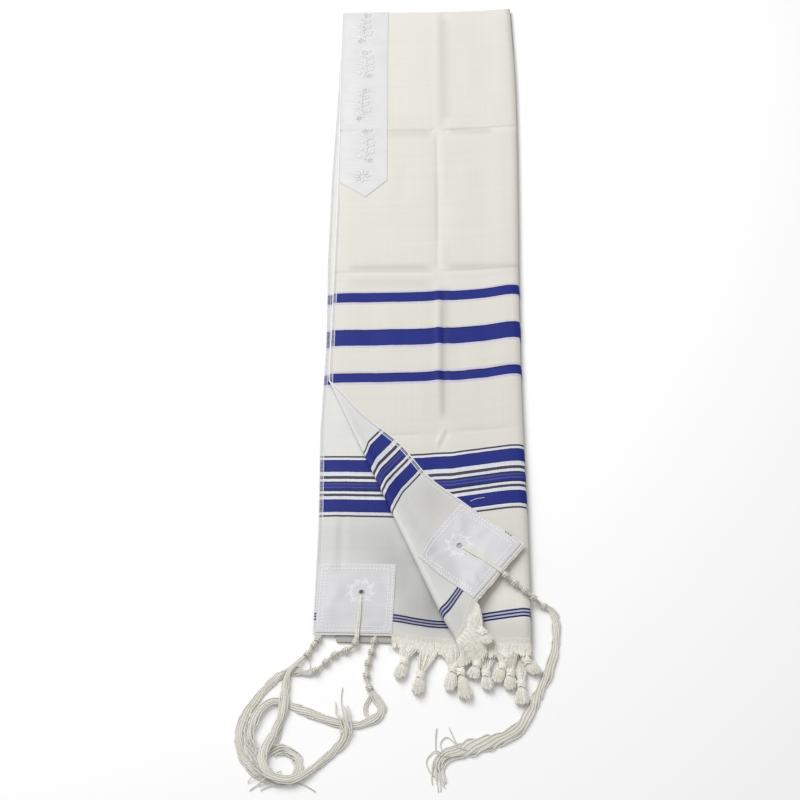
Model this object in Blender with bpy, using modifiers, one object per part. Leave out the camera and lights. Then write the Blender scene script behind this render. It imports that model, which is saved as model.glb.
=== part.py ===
"""A tallit, folded in half along its length and again across, lying flat with one corner turned back.

Metres, +Z up. The folded strip runs along Y, its fringed hems at -Y and the cross fold at +Y. X runs
from the selvages on the left to the lengthwise fold on the right. The origin is the middle of the underside.
"""

import math
from collections import namedtuple

import bmesh
import bpy
from mathutils import Matrix, Vector

MM = 0.001

# The folded strip.
WALL = 1.2 * MM  # one layer of cloth
SEAM_GAP = 0.3 * MM
LEFT_X = -113 * MM
RIGHT_X = 111 * MM
TOP_Y = 441.5 * MM  # centre of the cross fold's roll, at the left
HEM_S = 892 * MM  # cloth from that roll to the hem
HEM_DRAWN = 7 * MM  # how far the inner layer's hem is drawn back at the left
SKEW = 0.055  # the weft climbs this much for each metre to the right
SKEW_ENDS_S = {"outer": (790 * MM, HEM_S), "inner": (600 * MM, 690 * MM)}

# Heights of the layers' middles above the floor, and how much more each has beside the lengthwise fold.
BACK_TOP = 3.0 * MM
INNER_MID = 3.9 * MM
OUTER_MID = 5.9 * MM
BACK_RISE = 0.8 * MM
INNER_RISE = 0.8 * MM
OUTER_RISE = 2.2 * MM
RISE_STARTS_X = 60 * MM
FOLD_RADIUS = (OUTER_MID + OUTER_RISE - INNER_MID - INNER_RISE) / 2

# Storage creases, as soft troughs. A lengthwise one has an x, a crosswise one an s along the cloth.
Crease = namedtuple("Crease", "x s depth width")
CREASES = (
    Crease(x=14 * MM, s=None, depth=0.6 * MM, width=11 * MM),
    Crease(x=None, s=198 * MM, depth=0.7 * MM, width=11 * MM),
    Crease(x=None, s=420 * MM, depth=0.5 * MM, width=12 * MM),
    Crease(x=None, s=648 * MM, depth=0.5 * MM, width=11 * MM),
)
PUFF = 0.9 * MM  # rise of the cloth between the creases
RELIEF_MARGIN = 24 * MM  # the relief fades to nothing this close to an edge

# The corner turned back: its fold runs from the selvage at A to the hem at B.
FOLD_A = Vector((-105 * MM, -139 * MM))
FOLD_B = Vector((34 * MM, -450 * MM))
FOLD_BOW = 4 * MM
ROLL_RADIUS_A = 1.4 * MM
ROLL_RADIUS_B = 6.0 * MM
FLAP_PULL = 0.95  # creeping and puckering shorten the flap across the fold
FLAP_SLIP = 0.075  # and pull it towards A
FLAP_MID = 2.0 * MM  # its middle above the outer layer's middle, where it rests
FLAP_LIFT = 7.5 * MM  # more at its hem and corner, which stand up
LIFT_LENGTH = 62 * MM
CORNER = Vector((106 * MM, -344 * MM))  # where the cloth's corner comes to lie
CORNER_SELVAGE = Vector((-0.775, 0.632))  # its selvage and its hem run off from there
CORNER_HEM = Vector((-0.62, -0.785))
CORNER_REACH = 60 * MM
BULGE = 13 * MM  # how far the flap's hem swings out between its patch and the fold
BULGE_DEPTH = 32 * MM

# What is sewn on.
PATCH_SIDE = 80 * MM
PATCH_THICK = 0.8 * MM
PATCH_INSET = 1.5 * MM  # from the selvage and the hem
EYELET_INSET = 47 * MM  # from the selvage and the hem
EYELET_RADIUS = 2.2 * MM
ATARA_WIDTH = 58 * MM
ATARA_THICK = 0.8 * MM
ATARA_INSET = 2 * MM
ATARA_SHOULDER_S = 283 * MM
ATARA_POINT_S = 308 * MM
ATARA_POINT_ACROSS = 0.55
ATARA_WRAP = math.radians(120)
PATCH_GAP = 0.6 * MM
BACK_EDGE = 0.9 * MM  # rounding of the hidden layers' edges
SLOT = 0.4 * MM  # the gap that parts the hidden layers at their edges, and how deep it runs
SLOT_DEPTH = 3 * MM
INNER_TUCK = 0.8 * MM  # how far the inner layer reaches into the cross fold

# Knotted corner fringes. The stem is bound by five double knots, then opens into eight threads.
STEM_RADIUS = 2.1 * MM
KNOT_RADIUS = 2.9 * MM
KNOT_LENGTH = 2.4 * MM
KNOTS = 5
FREE_RINGS = 7
STEM_END_WIDTH = 4.6 * MM
THREAD_RADIUS = 0.75 * MM
THREAD_PITCH = 1.65 * MM
THREADS = 8

Stop = namedtuple("Stop", "x y z")
Corner = namedtuple("Corner", "name layer laid bound_from stem threads")
CORNERS = (
    Corner(
        name="tzitzit_inner",
        layer="inner",
        laid=((46, 44), (46, 24), (45, 3)),
        bound_from=0.48,
        stem=(Stop(-69, -453, 5.4), Stop(-76, -459, 3.4), Stop(-88, -464, 3.3), Stop(-97, -472, 3.3), Stop(-105, -480, 3.3),
              Stop(-113, -485, 3.3)),
        threads=(Stop(-120, -485, 2.2), Stop(-131, -483, 0.9), Stop(-146, -489, 0.9), Stop(-161, -505, 0.9),
                 Stop(-173, -523, 0.9), Stop(-181, -541, 0.9), Stop(-183, -558, 0.9), Stop(-179, -574, 0.9),
                 Stop(-168, -588, 0.9), Stop(-154, -598, 0.9), Stop(-139, -603, 0.9), Stop(-127, -599, 0.9),
                 Stop(-121, -588, 0.9), Stop(-124, -576, 0.9), Stop(-134, -569, 0.9), Stop(-146, -570, 0.9)),
    ),
    Corner(
        name="tzitzit_left",
        layer=None,
        laid=(),
        bound_from=0.1,
        stem=(Stop(-105, -446.5, 3.3), Stop(-108, -451, 3.3), Stop(-112, -457, 3.4), Stop(-116, -463, 3.5),
              Stop(-120, -468, 3.7), Stop(-123, -473, 4)),
        threads=(Stop(-127, -478, 3.9), Stop(-133, -485, 3.3), Stop(-139, -497, 2.8), Stop(-139, -515, 2.8),
                 Stop(-141, -532, 2.8), Stop(-148, -552, 3), Stop(-155, -568, 4.3), Stop(-158, -581, 4.9),
                 Stop(-152, -593, 4.9), Stop(-139, -600, 3.8), Stop(-122, -598, 2.8), Stop(-106, -586, 1.6),
                 Stop(-91, -573, 0.9), Stop(-79, -559, 1.4), Stop(-75, -545, 2.8), Stop(-79, -529, 2.8),
                 Stop(-83, -512, 1.2)),
    ),
    Corner(
        name="tzitzit_lower",
        layer=None,
        laid=(),
        bound_from=0.1,
        stem=(Stop(-50, -451.5, 3.3), Stop(-52, -463, 3.3), Stop(-56, -478, 3.3), Stop(-56, -492, 3.3),
              Stop(-51, -505, 3.3)),
        threads=(Stop(-45, -513, 2), Stop(-40, -521, 0.9), Stop(-43, -530, 0.9), Stop(-53, -537, 0.9),
                 Stop(-66, -541, 0.9), Stop(-84, -539, 0.9), Stop(-102, -533, 0.9), Stop(-120, -526, 0.9),
                 Stop(-138, -519, 0.9), Stop(-152, -518, 2.4), Stop(-162, -526, 2.9), Stop(-170, -540, 2.9),
                 Stop(-172, -555, 2.9), Stop(-168, -570, 2.9), Stop(-160, -584, 2.9)),
    ),
    Corner(
        name="tzitzit_outer",
        layer="outer",
        laid=((46, 44), (43, 23), (39, 2)),
        bound_from=0.44,
        stem=(Stop(83.5, -376, 22), Stop(88.5, -379, 17.6), Stop(94, -383, 13.6), Stop(103, -390, 12.9),
              Stop(112, -397, 11.2),
              Stop(120, -402, 5.8), Stop(127, -407, 3.4), Stop(134, -412, 3.3)),
        threads=(Stop(140, -420, 2), Stop(144, -432, 0.9), Stop(145, -448, 0.9), Stop(143, -463, 0.9),
                 Stop(138, -479, 0.9), Stop(130, -499, 0.9), Stop(121, -518, 0.9), Stop(110, -535, 0.9),
                 Stop(95, -547, 0.9), Stop(77, -554, 0.9), Stop(59, -559, 0.9), Stop(43, -565, 0.9),
                 Stop(29, -571, 0.9), Stop(20, -581, 0.9), Stop(18, -596, 0.9), Stop(22, -611, 0.9)),
    ),
)

# Knotted tassels: where each leaves its hem, its knot and the end of its tuft, in millimetres.
Tassel = namedtuple("Tassel", "hem root knot_x knot_y knot_z end_x end_y")
TASSELS = (
    Tassel("inner", -10, -18, -472, 3.0, -24, -490),
    Tassel("inner", 8, -1, -487, 3.0, -5, -507),
    Tassel("inner", 29, 32, -480, 3.0, 28, -504),
    Tassel("back", 41, 40, -481, 3.0, 47, -514),
    Tassel("outer", 58, 57, -474, 3.2, 45, -486),
    Tassel("back", 66, 66, -484, 3.0, 68, -502),
    Tassel("outer", 80, 83, -476, 3.2, 74, -492),
    Tassel("outer", 92, 91, -483, 3.0, 91, -502),
    Tassel("back", 101, 102, -495, 3.0, 102, -517),
    Tassel("outer", 106, 108, -470, 3.2, 118, -482),
    Tassel("flap", 14, 63, -442, 11.5, 60, -456),
    Tassel("flap", -8, 76, -424, 11.5, 78, -440),
)
TASSEL_KNOT = 2.5 * MM
TASSEL_KNOT_LENGTH = 5 * MM
TASSEL_THREAD = 0.52 * MM
FAN_SPREAD = 9 * MM
TUFT_SPREAD = 12 * MM
STRIP_WIDTH = 2.4 * MM
STRIP_COLUMNS = {"inner": 12, "back": 10, "outer": 8, "flap": 6}

# Rows of the cloth's grids, by distance from the cross fold, and columns of the inner layer, by x.
ROWS = [s * MM for s in (0, 12, 50, 105, 150, 186, 198, 210, 255, 315, 370, 408, 420, 432, 475, 525, 565)]
ROWS += [s * MM for s in (588, 604, 620, 636, 648, 660, 680, 705, 730, 755, 780, 805, 828, 850, 872, 892)]
INNER_COLUMNS = [x * MM for x in (88, 62, 26, 14, 2, -31, -71, -100)]
WRAP_ROWS = 5
FLAP_COLUMNS = 9
ROLL_COLUMNS = 6
LEFT_COLUMNS = 5
RIGHT_COLUMNS = 4
FOLD_COLUMNS = 6


def smooth(t):
    t = min(1.0, max(0.0, t))
    return t * t * (3 - 2 * t)


def blend(a, b, t):
    return a + (b - a) * t


def make_material(name, colour, roughness):
    material = bpy.data.materials.new(name)
    material.use_nodes = True
    shader = material.node_tree.nodes["Principled BSDF"]
    shader.inputs["Base Color"].default_value = (*colour, 1)
    shader.inputs["Roughness"].default_value = roughness
    shader.inputs["Metallic"].default_value = 0
    return material


# ---------------------------------------------------------------- the cloth's shape


def skew_at(s, layer):
    starts, ends = SKEW_ENDS_S[layer]
    return SKEW * (1 - smooth((s - starts) / (ends - starts)))


def layer_y(x, s, layer):
    """Where a point of the cloth lies along the strip. The inner layer's hem is drawn back at the left."""
    y = TOP_Y - s + skew_at(s, layer) * (x - LEFT_X)
    if layer == "inner":
        y += HEM_DRAWN * smooth((s - 600 * MM) / (200 * MM)) * (1 - smooth((x + 40 * MM) / (60 * MM)))
    return y


def relief(x, y):
    s = TOP_Y - y + SKEW * (x - LEFT_X)
    height = PUFF
    for crease in CREASES:
        away = x - crease.x if crease.s is None else s - crease.s
        height -= crease.depth * math.exp(-((away / crease.width) ** 2))
    across = smooth((x - LEFT_X) / RELIEF_MARGIN) * smooth((RIGHT_X - x) / RELIEF_MARGIN)
    along = smooth(s / RELIEF_MARGIN) * smooth((HEM_S - 12 * MM - s) / RELIEF_MARGIN)
    return height * across * along


def rise(x):
    return smooth((x - RISE_STARTS_X) / (RIGHT_X - FOLD_RADIUS - RISE_STARTS_X))


def outer_z(x, y):
    return OUTER_MID + relief(x, y) + OUTER_RISE * rise(x)


def inner_z(x, y):
    return INNER_MID + relief(x, y) + INNER_RISE * rise(x)


def outer_left(s):
    """The outer layer's selvage, which leans in towards the hem."""
    return blend(LEFT_X, -105 * MM, smooth(s / (560 * MM)))


def inner_left(s):
    return -113.5 * MM + 1.2 * MM * math.cos(s / (62 * MM))


def right_edge(s):
    return RIGHT_X - 2 * MM * math.exp(-s / (15 * MM)) + 1.2 * MM * math.sin(s / (110 * MM))


FOLD_LENGTH = (FOLD_B - FOLD_A).length
FOLD_ALONG = (FOLD_B - FOLD_A).normalized()
FOLD_INWARD = Vector((-FOLD_ALONG.y, FOLD_ALONG.x))


def roll_radius(t):
    return blend(ROLL_RADIUS_A, ROLL_RADIUS_B, smooth(t / FOLD_LENGTH))


def fold_bow(t):
    return FOLD_BOW * math.sin(math.pi * min(1.0, max(0.0, t / FOLD_LENGTH)))


def roll_limits(s):
    """The x at which a row of the outer layer leaves the roll for the flap, and the panel for the roll."""
    k = skew_at(s, "outer")
    slope = FOLD_INWARD.x + k * FOLD_INWARD.y
    at_left = layer_y(LEFT_X, s, "outer")
    x = LEFT_X - (FOLD_INWARD.x * (LEFT_X - FOLD_A.x) + FOLD_INWARD.y * (at_left - FOLD_A.y)) / slope
    t = (Vector((x, layer_y(x, s, "outer"))) - FOLD_A).dot(FOLD_ALONG)
    radius, bow = roll_radius(t), fold_bow(t)
    left = outer_left(s)
    ends = x - ((math.pi - 1) * radius + bow) / slope
    starts = x + (radius - bow) / slope
    return max(left, ends), max(left, starts)


def flap_height(t, e, s):
    """Height of the flap's middle over the outer layer's, e past the roll: a teardrop, then the lift."""
    radius = roll_radius(t)
    height = FLAP_MID + (2 * radius - FLAP_MID) * math.exp(-((e / (5 * radius)) ** 2))
    near_hem = smooth((s - HEM_S + LIFT_LENGTH) / LIFT_LENGTH)
    return height + FLAP_LIFT * near_hem * smooth(e / (45 * MM))


def outer_point(x, s):
    """A point of the outer layer's middle, given where it would lie were the corner not turned back."""
    flat = Vector((x, layer_y(x, s, "outer")))
    from_a = flat - FOLD_A
    t, bow = from_a.dot(FOLD_ALONG), fold_bow(from_a.dot(FOLD_ALONG))
    beyond = -from_a.dot(FOLD_INWARD) - bow
    radius = roll_radius(t)
    if beyond <= -radius:
        return Vector((flat.x, flat.y, outer_z(flat.x, flat.y)))
    turned = (beyond + radius) / radius
    if turned < math.pi:
        place = FOLD_A + FOLD_ALONG * t + FOLD_INWARD * (radius - radius * math.sin(turned) - bow)
        height = radius * (1 - math.cos(turned))
    else:
        e = beyond - (math.pi - 1) * radius
        place = FOLD_A + FOLD_ALONG * (t - FLAP_SLIP * e) + FOLD_INWARD * (radius + FLAP_PULL * e - bow)
        from_hem = HEM_S - s
        at_corner = CORNER + CORNER_SELVAGE * from_hem + CORNER_HEM * (x - outer_left(s))
        squared = smooth(e / CORNER_REACH) * (1 - smooth((from_hem - PATCH_SIDE) / (2 * CORNER_REACH)))
        place = blend(place, at_corner, squared)
        past_patch = (x - outer_left(s) - PATCH_SIDE + 6 * MM) / (FOLD_B.x - LEFT_X - PATCH_SIDE)
        near_hem = math.exp(-(((HEM_S - s) / BULGE_DEPTH) ** 2))
        swing = BULGE * math.sin(math.pi * min(1.0, max(0.0, past_patch))) * near_hem
        place += Vector((0.93, -0.37)) * swing
        height = flap_height(t, e, s)
    return Vector((place.x, place.y, outer_z(place.x, place.y) + height))


def outer_wrap(x, angle):
    """Over the cross fold, down to the floor."""
    centre = layer_y(x, 0, "outer")
    top = outer_z(x, centre)
    radius = (top - WALL / 2) / 2
    return Vector((x, centre + radius * math.sin(angle), top - radius + radius * math.cos(angle)))


def on_outer(x, s):
    """The same for a negative s, which runs over the cross fold."""
    if s >= 0:
        return outer_point(x, s)
    radius = (outer_z(x, layer_y(x, 0, "outer")) - WALL / 2) / 2
    return outer_wrap(x, -s / radius)


def on_inner(x, s):
    y = layer_y(x, s, "inner")
    return Vector((x, y, inner_z(x, y)))


def lifted(surface, x, s, height, down=1):
    """A point moved out from a surface along its normal. down is -1 where the surface shows its other face."""
    step = 0.5 * MM
    across = surface(x + step, s) - surface(x - step, s)
    along = surface(x, s - step) - surface(x, s + step)
    return surface(x, s) + across.cross(along).normalized() * height * down


# ---------------------------------------------------------------- mesh helpers


def grid_mesh(columns, rows, place):
    """A grid whose vertices are put where place(column, row) says, coincident ones merged."""
    bm = bmesh.new()
    bmesh.ops.create_grid(bm, x_segments=columns, y_segments=rows, size=1)
    for vertex in bm.verts:
        column = round((vertex.co.x + 1) / 2 * columns)
        row = round((vertex.co.y + 1) / 2 * rows)
        vertex.co = place(column, row)
    bmesh.ops.remove_doubles(bm, verts=bm.verts, dist=0.01 * MM)
    return bm


def add_object(name, bm, material, collection, smooth_angle=math.radians(40)):
    mesh = bpy.data.meshes.new(name)
    bm.to_mesh(mesh)
    bm.free()
    mesh.shade_smooth()
    mesh.set_sharp_from_angle(angle=smooth_angle)
    mesh.materials.append(material)
    obj = bpy.data.objects.new(name, mesh)
    collection.objects.link(obj)
    return obj


def thicken(obj, thickness):
    wall = obj.modifiers.new("Wall", "SOLIDIFY")
    wall.thickness = thickness
    wall.offset = 0


def combine(obj, helper, operation):
    """Cuts a hidden helper from an object, or joins it on."""
    boolean = obj.modifiers.new(helper.name, "BOOLEAN")
    boolean.operation = operation
    boolean.object = helper
    helper.hide_render = True
    helper.display_type = "WIRE"


# ---------------------------------------------------------------- the pieces


def make_front_half(material, collection):
    """The outer layer, the lengthwise fold and the inner layer, with the corner turned back, as one wall."""
    counts = (FLAP_COLUMNS, ROLL_COLUMNS, LEFT_COLUMNS, RIGHT_COLUMNS)
    outer_count = sum(counts)

    def outer_x(column, s):
        left = outer_left(s)
        ends, starts = roll_limits(s)
        middle = max(CREASES[0].x, starts + 12 * MM)
        right = right_edge(s) - FOLD_RADIUS
        stops = (left, ends, starts, middle, right)
        for start, stop, count in zip(stops, stops[1:], counts):
            if column <= count:
                return blend(start, stop, column / count)
            column -= count

    def place(column, row):
        wrap = max(0, WRAP_ROWS - row) / WRAP_ROWS
        s = ROWS[max(0, row - WRAP_ROWS)]
        angle = math.pi * wrap
        x = outer_x(min(column, outer_count), s)
        outer = outer_wrap(x, angle) if wrap else outer_point(x, s)
        if column <= outer_count:
            return outer
        column -= outer_count
        right = right_edge(s) - FOLD_RADIUS
        tuck = Vector((0, wrap * INNER_TUCK, 0))
        if column <= FOLD_COLUMNS:
            turned = math.pi * column / FOLD_COLUMNS
            point = blend(outer, on_inner(right, s) + tuck, (1 - math.cos(turned)) / 2)
            return point + Vector((FOLD_RADIUS * math.sin(turned) * math.cos(angle / 2), 0, 0))
        column -= FOLD_COLUMNS + 1
        x = INNER_COLUMNS[column] if column < len(INNER_COLUMNS) else inner_left(s)
        return on_inner(x, s) + tuck

    columns = outer_count + FOLD_COLUMNS + len(INNER_COLUMNS) + 1
    bm = grid_mesh(columns, WRAP_ROWS + len(ROWS) - 1, place)
    obj = add_object("front_half", bm, material, collection)
    thicken(obj, WALL)


def back_point(x, s):
    """The hidden layers lie under the inner one, but reach past it at the hem, save at their own corner."""
    if s <= 800 * MM:
        return Vector((x, layer_y(x, s, "inner"), 0))
    drawn_back = smooth((s - 850 * MM) / (40 * MM)) * (1 - smooth((x - LEFT_X) / (28 * MM)))
    return Vector((x, TOP_Y - s + 6 * MM * drawn_back, 0))


def make_back_half(material, collection, cutters):
    """The two hidden layers as one rounded solid, parted along its selvage and hem."""
    xs = [RIGHT_X - 0.5 * MM] + INNER_COLUMNS + [LEFT_X + 1 * MM]
    rows = [0.6 * MM] + ROWS[1:]
    bm = grid_mesh(len(xs) - 1, len(rows) - 1, lambda column, row: back_point(xs[column], rows[row]))
    raised = bmesh.ops.extrude_face_region(bm, geom=bm.faces)
    for vertex in raised["geom"]:
        if isinstance(vertex, bmesh.types.BMVert):
            x, y = vertex.co.x, vertex.co.y
            vertex.co.z = BACK_TOP + relief(x, y) + BACK_RISE * rise(x)
    bmesh.ops.recalc_face_normals(bm, faces=bm.faces)
    sides = [face for face in bm.faces if abs(face.normal.z) < 0.5]
    rims = {edge for face in sides for edge in face.edges if abs(edge.verts[0].co.z - edge.verts[1].co.z) < 1 * MM}
    bmesh.ops.bevel(bm, geom=list(rims), offset=BACK_EDGE, segments=2, profile=0.5, affect="EDGES")
    back = add_object("back_half", bm, material, collection)

    # The slot between the two layers, an L of thin plate along the selvage and the hem.
    bm = bmesh.new()
    bmesh.ops.create_grid(bm, x_segments=2, y_segments=2, size=1)
    hem_y = TOP_Y - HEM_S
    xs = {-1: LEFT_X - 10 * MM, 0: LEFT_X + 1 * MM + SLOT_DEPTH, 1: RIGHT_X - 4 * MM}
    ys = {-1: hem_y - 10 * MM, 0: hem_y + SLOT_DEPTH, 1: TOP_Y - 4 * MM}
    inner_corner = [face for face in bm.faces if face.calc_center_median().x > 0 < face.calc_center_median().y]
    bmesh.ops.delete(bm, geom=inner_corner, context="FACES")
    for vertex in bm.verts:
        vertex.co = (xs[round(vertex.co.x)], ys[round(vertex.co.y)], BACK_TOP / 2)
    slot = add_object("back_slot", bm, material, cutters)
    thicken(slot, SLOT)
    combine(back, slot, "DIFFERENCE")


def make_atara(material, collection):
    """The neckband, over the outer layer at its selvage and round the cross fold, ending in a blunt point."""
    columns, rows, bend_rows = 6, 14, 4
    radius = (OUTER_MID - WALL / 2) / 2

    def place(column, row):
        across = column / columns
        point_side = min(across / ATARA_POINT_ACROSS, (1 - across) / (1 - ATARA_POINT_ACROSS))
        end = blend(ATARA_SHOULDER_S, ATARA_POINT_S, point_side)
        if row < bend_rows:
            s = -ATARA_WRAP * radius * (1 - row / bend_rows)
        else:
            s = end * (row - bend_rows) / (rows - bend_rows)
        x = outer_left(max(0, s)) + ATARA_INSET + ATARA_WIDTH * across
        return lifted(on_outer, x, s, WALL / 2 + SEAM_GAP + ATARA_THICK / 2)

    obj = add_object("atara", grid_mesh(columns, rows, place), material, collection)
    thicken(obj, ATARA_THICK)


def make_patch(name, surface, left, down, hem_s, material, collection, cutters):
    """A corner patch with its eyelet."""
    cells = 6
    rise_by = WALL / 2 + PATCH_GAP + PATCH_THICK / 2

    def place(column, row):
        x = left + PATCH_INSET + PATCH_SIDE * column / cells
        return lifted(surface, x, hem_s - PATCH_INSET - PATCH_SIDE * (1 - row / cells), rise_by, down)

    patch = add_object(name, grid_mesh(cells, cells, place), material, collection)
    thicken(patch, PATCH_THICK)
    x, s = left + EYELET_INSET, hem_s - EYELET_INSET
    centre = lifted(surface, x, s, rise_by, down)
    outwards = lifted(surface, x, s, 2 * rise_by, down) - surface(x, s)
    bm = bmesh.new()
    turn = outwards.to_track_quat("Z", "Y").to_matrix().to_4x4()
    bmesh.ops.create_cone(bm, cap_ends=True, segments=12, radius1=EYELET_RADIUS, radius2=EYELET_RADIUS,
                          depth=4 * MM, matrix=Matrix.Translation(centre) @ turn)
    punch = add_object(name + "_eyelet", bm, material, cutters)
    combine(patch, punch, "DIFFERENCE")


def smooth_route(points):
    """Eight points for each step of a smooth curve through the given ones."""
    ends = [2 * points[0] - points[1]] + points + [2 * points[-1] - points[-2]]
    curve = []
    for a, b, c, d in zip(ends, ends[1:], ends[2:], ends[3:]):
        for step in range(8):
            t = step / 8
            curve.append(0.5 * (2 * b + (c - a) * t + (2 * a - 5 * b + 4 * c - d) * t**2
                                + (3 * b - a - 3 * c + d) * t**3))
    return curve + [points[-1]]


def along_route(curve, share):
    """The point of a curve at a share of its length, and its direction there."""
    lengths = [(b - a).length for a, b in zip(curve, curve[1:])]
    left = share * sum(lengths)
    for a, b, length in zip(curve, curve[1:], lengths):
        if left <= length:
            break
        left -= length
    return a + (b - a) * min(1, left / length), (b - a).normalized()


def section_axes(direction):
    """Sideways and upwards, square to a direction that isn't upright."""
    sideways = Vector((0, 0, 1)).cross(direction).normalized()
    return sideways, direction.cross(sideways)


def extrude_face(bm, face, corners):
    """Extrudes a face and puts its corners, in order, at new places."""
    grown = bmesh.ops.extrude_discrete_faces(bm, faces=[face])["faces"][0]
    for vertex, corner in zip(grown.verts, corners):
        vertex.co = corner
    return grown


def grow_thread(bm, face, route, radius):
    """Extrudes a triangle of a head along a route as a three-sided thread."""
    start = route[1] - route[0]
    sideways, upwards = section_axes(start.normalized())
    centre = face.calc_center_median()
    shape = []
    for vertex in face.verts:
        away = vertex.co - centre
        flat = Vector((away.dot(sideways), away.dot(upwards))).normalized()
        shape.append(flat * radius)
    for before, here, after in zip(route, route[1:], route[2:] + route[-1:]):
        sideways, upwards = section_axes((after - before).normalized())
        face = extrude_face(bm, face, [here + sideways * a + upwards * b for a, b in shape])


def split_face(bm, face, sideways):
    """Parts a six-sided end across its middle into two quads."""
    middle = face.calc_center_median()
    ordered = sorted(face.verts, key=lambda vertex: abs((vertex.co - middle).dot(sideways)))
    edges = bmesh.ops.connect_verts(bm, verts=ordered[:2])["edges"]
    return list(edges[0].link_faces)


def laid_points(corner):
    """The stem's route from its eyelet across the patch to the hem, just clear of the patch."""
    height = WALL / 2 + PATCH_GAP + PATCH_THICK + SEAM_GAP + STEM_RADIUS
    surface, left, down = on_inner, inner_left(HEM_S), 1
    if corner.layer == "outer":
        surface, left, down = outer_point, outer_left(HEM_S), -1
    return [lifted(surface, left + across * MM, HEM_S - from_hem * MM, height, down)
            for across, from_hem in corner.laid]


def make_corner_fringe(corner, material, collection):
    """One knotted corner fringe: a bound stem and the eight threads that leave its flat end."""
    stem = smooth_route(laid_points(corner) + [Vector(stop) * MM for stop in corner.stem])
    bm = bmesh.new()
    bmesh.ops.create_cone(bm, cap_ends=True, segments=6, radius1=1, radius2=1, depth=1,
                          matrix=Matrix.Rotation(math.radians(30), 4, "Z"))
    shape = {vertex: Vector(vertex.co) for vertex in bm.verts}
    length = sum((b - a).length for a, b in zip(stem, stem[1:]))

    def ring(share, around):
        place, direction = along_route(stem, share)
        sideways, upwards = section_axes(direction)
        bound = (share - corner.bound_from) / (1 - corner.bound_from)
        radius = STEM_RADIUS if bound > 0 else STEM_RADIUS * 0.85
        for knot in range(KNOTS):
            away = (bound - (knot + 0.5) / KNOTS) * (1 - corner.bound_from) * length
            radius += (KNOT_RADIUS - STEM_RADIUS) * math.exp(-((away / KNOT_LENGTH) ** 2))
        opened = smooth((share - 0.93) / 0.07)
        width = blend(radius, STEM_END_WIDTH, opened)
        height = blend(radius, 1.3 * MM, opened)
        return [place + sideways * point.x * width + upwards * point.y * height for point in around]

    ends = {sign: next(f for f in bm.faces if len(f.verts) == 6 and f.normal.z * sign > 0.5) for sign in (-1, 1)}
    shares = knot_shares(corner, length)
    around = [shape[vertex] for vertex in ends[1].verts]
    for sign, share in ((-1, shares[0]), (1, shares[1])):
        verts = list(ends[sign].verts)
        for vertex, point in zip(verts, ring(share, [shape[vertex] for vertex in verts])):
            vertex.co = point
    end = ends[1]
    for share in shares[2:]:
        end = extrude_face(bm, end, ring(share, around))
    place, direction = along_route(stem, 1)
    sideways, _ = section_axes(direction)
    halves = split_face(bm, end, sideways)
    heads = bmesh.ops.poke(bm, faces=halves)["faces"]
    heads.sort(key=lambda face: round((face.calc_center_median() - place).dot(sideways) / MM, 1))
    stops = [Vector(stop) * MM for stop in corner.threads]
    for number, head in enumerate(heads):
        offset = (number - (THREADS - 1) / 2) * THREAD_PITCH
        route = [head.calc_center_median()]
        last = len(stops) - (number * 3 % 4 == 1)
        for before, here, after in zip([place] + stops, stops[:last], stops[1:] + stops[-1:]):
            aside, _ = section_axes((after - before).normalized())
            spread = 0.8 if here == stops[0] else 1
            route.append(here + Vector((aside.x, aside.y, 0)) * offset * spread)
        grow_thread(bm, head, route, THREAD_RADIUS)
    bmesh.ops.recalc_face_normals(bm, faces=bm.faces)
    add_object(corner.name, bm, material, collection)


def knot_shares(corner, length):
    """Shares of a stem's length at which it has a ring: a few along its free part, four round each knot."""
    bound = (1 - corner.bound_from) * length
    free = [corner.bound_from * step / FREE_RINGS for step in range(FREE_RINGS)] if corner.laid else [0]
    shares = list(free)
    for knot in range(KNOTS):
        centre = corner.bound_from + (knot + 0.5) / KNOTS * (1 - corner.bound_from)
        for away in (-1.6, -0.6, 0.6, 1.6):
            shares.append(centre + away * KNOT_LENGTH / bound * (1 - corner.bound_from))
    return shares[:-1] + [1]


def hem_point(hem, x, s):
    """A point of a hem's own layer, carried on past the hem."""
    if hem == "inner":
        return on_inner(x, s)
    if hem == "back":
        return back_point(x, s) + Vector((0, 0, BACK_TOP / 2))
    return outer_point(x, s)


def hem_span(hem):
    """Where a hem's strip starts and ends, by x. No thread leaves the hem under a corner patch."""
    right = right_edge(HEM_S) - FOLD_RADIUS
    ends, starts = roll_limits(HEM_S)
    spans = {"inner": (-33 * MM, right), "back": (-20 * MM, right), "outer": (starts + 2 * MM, right)}
    spans["flap"] = (outer_left(HEM_S) + PATCH_SIDE + 3 * MM, ends)
    return spans[hem]


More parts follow.
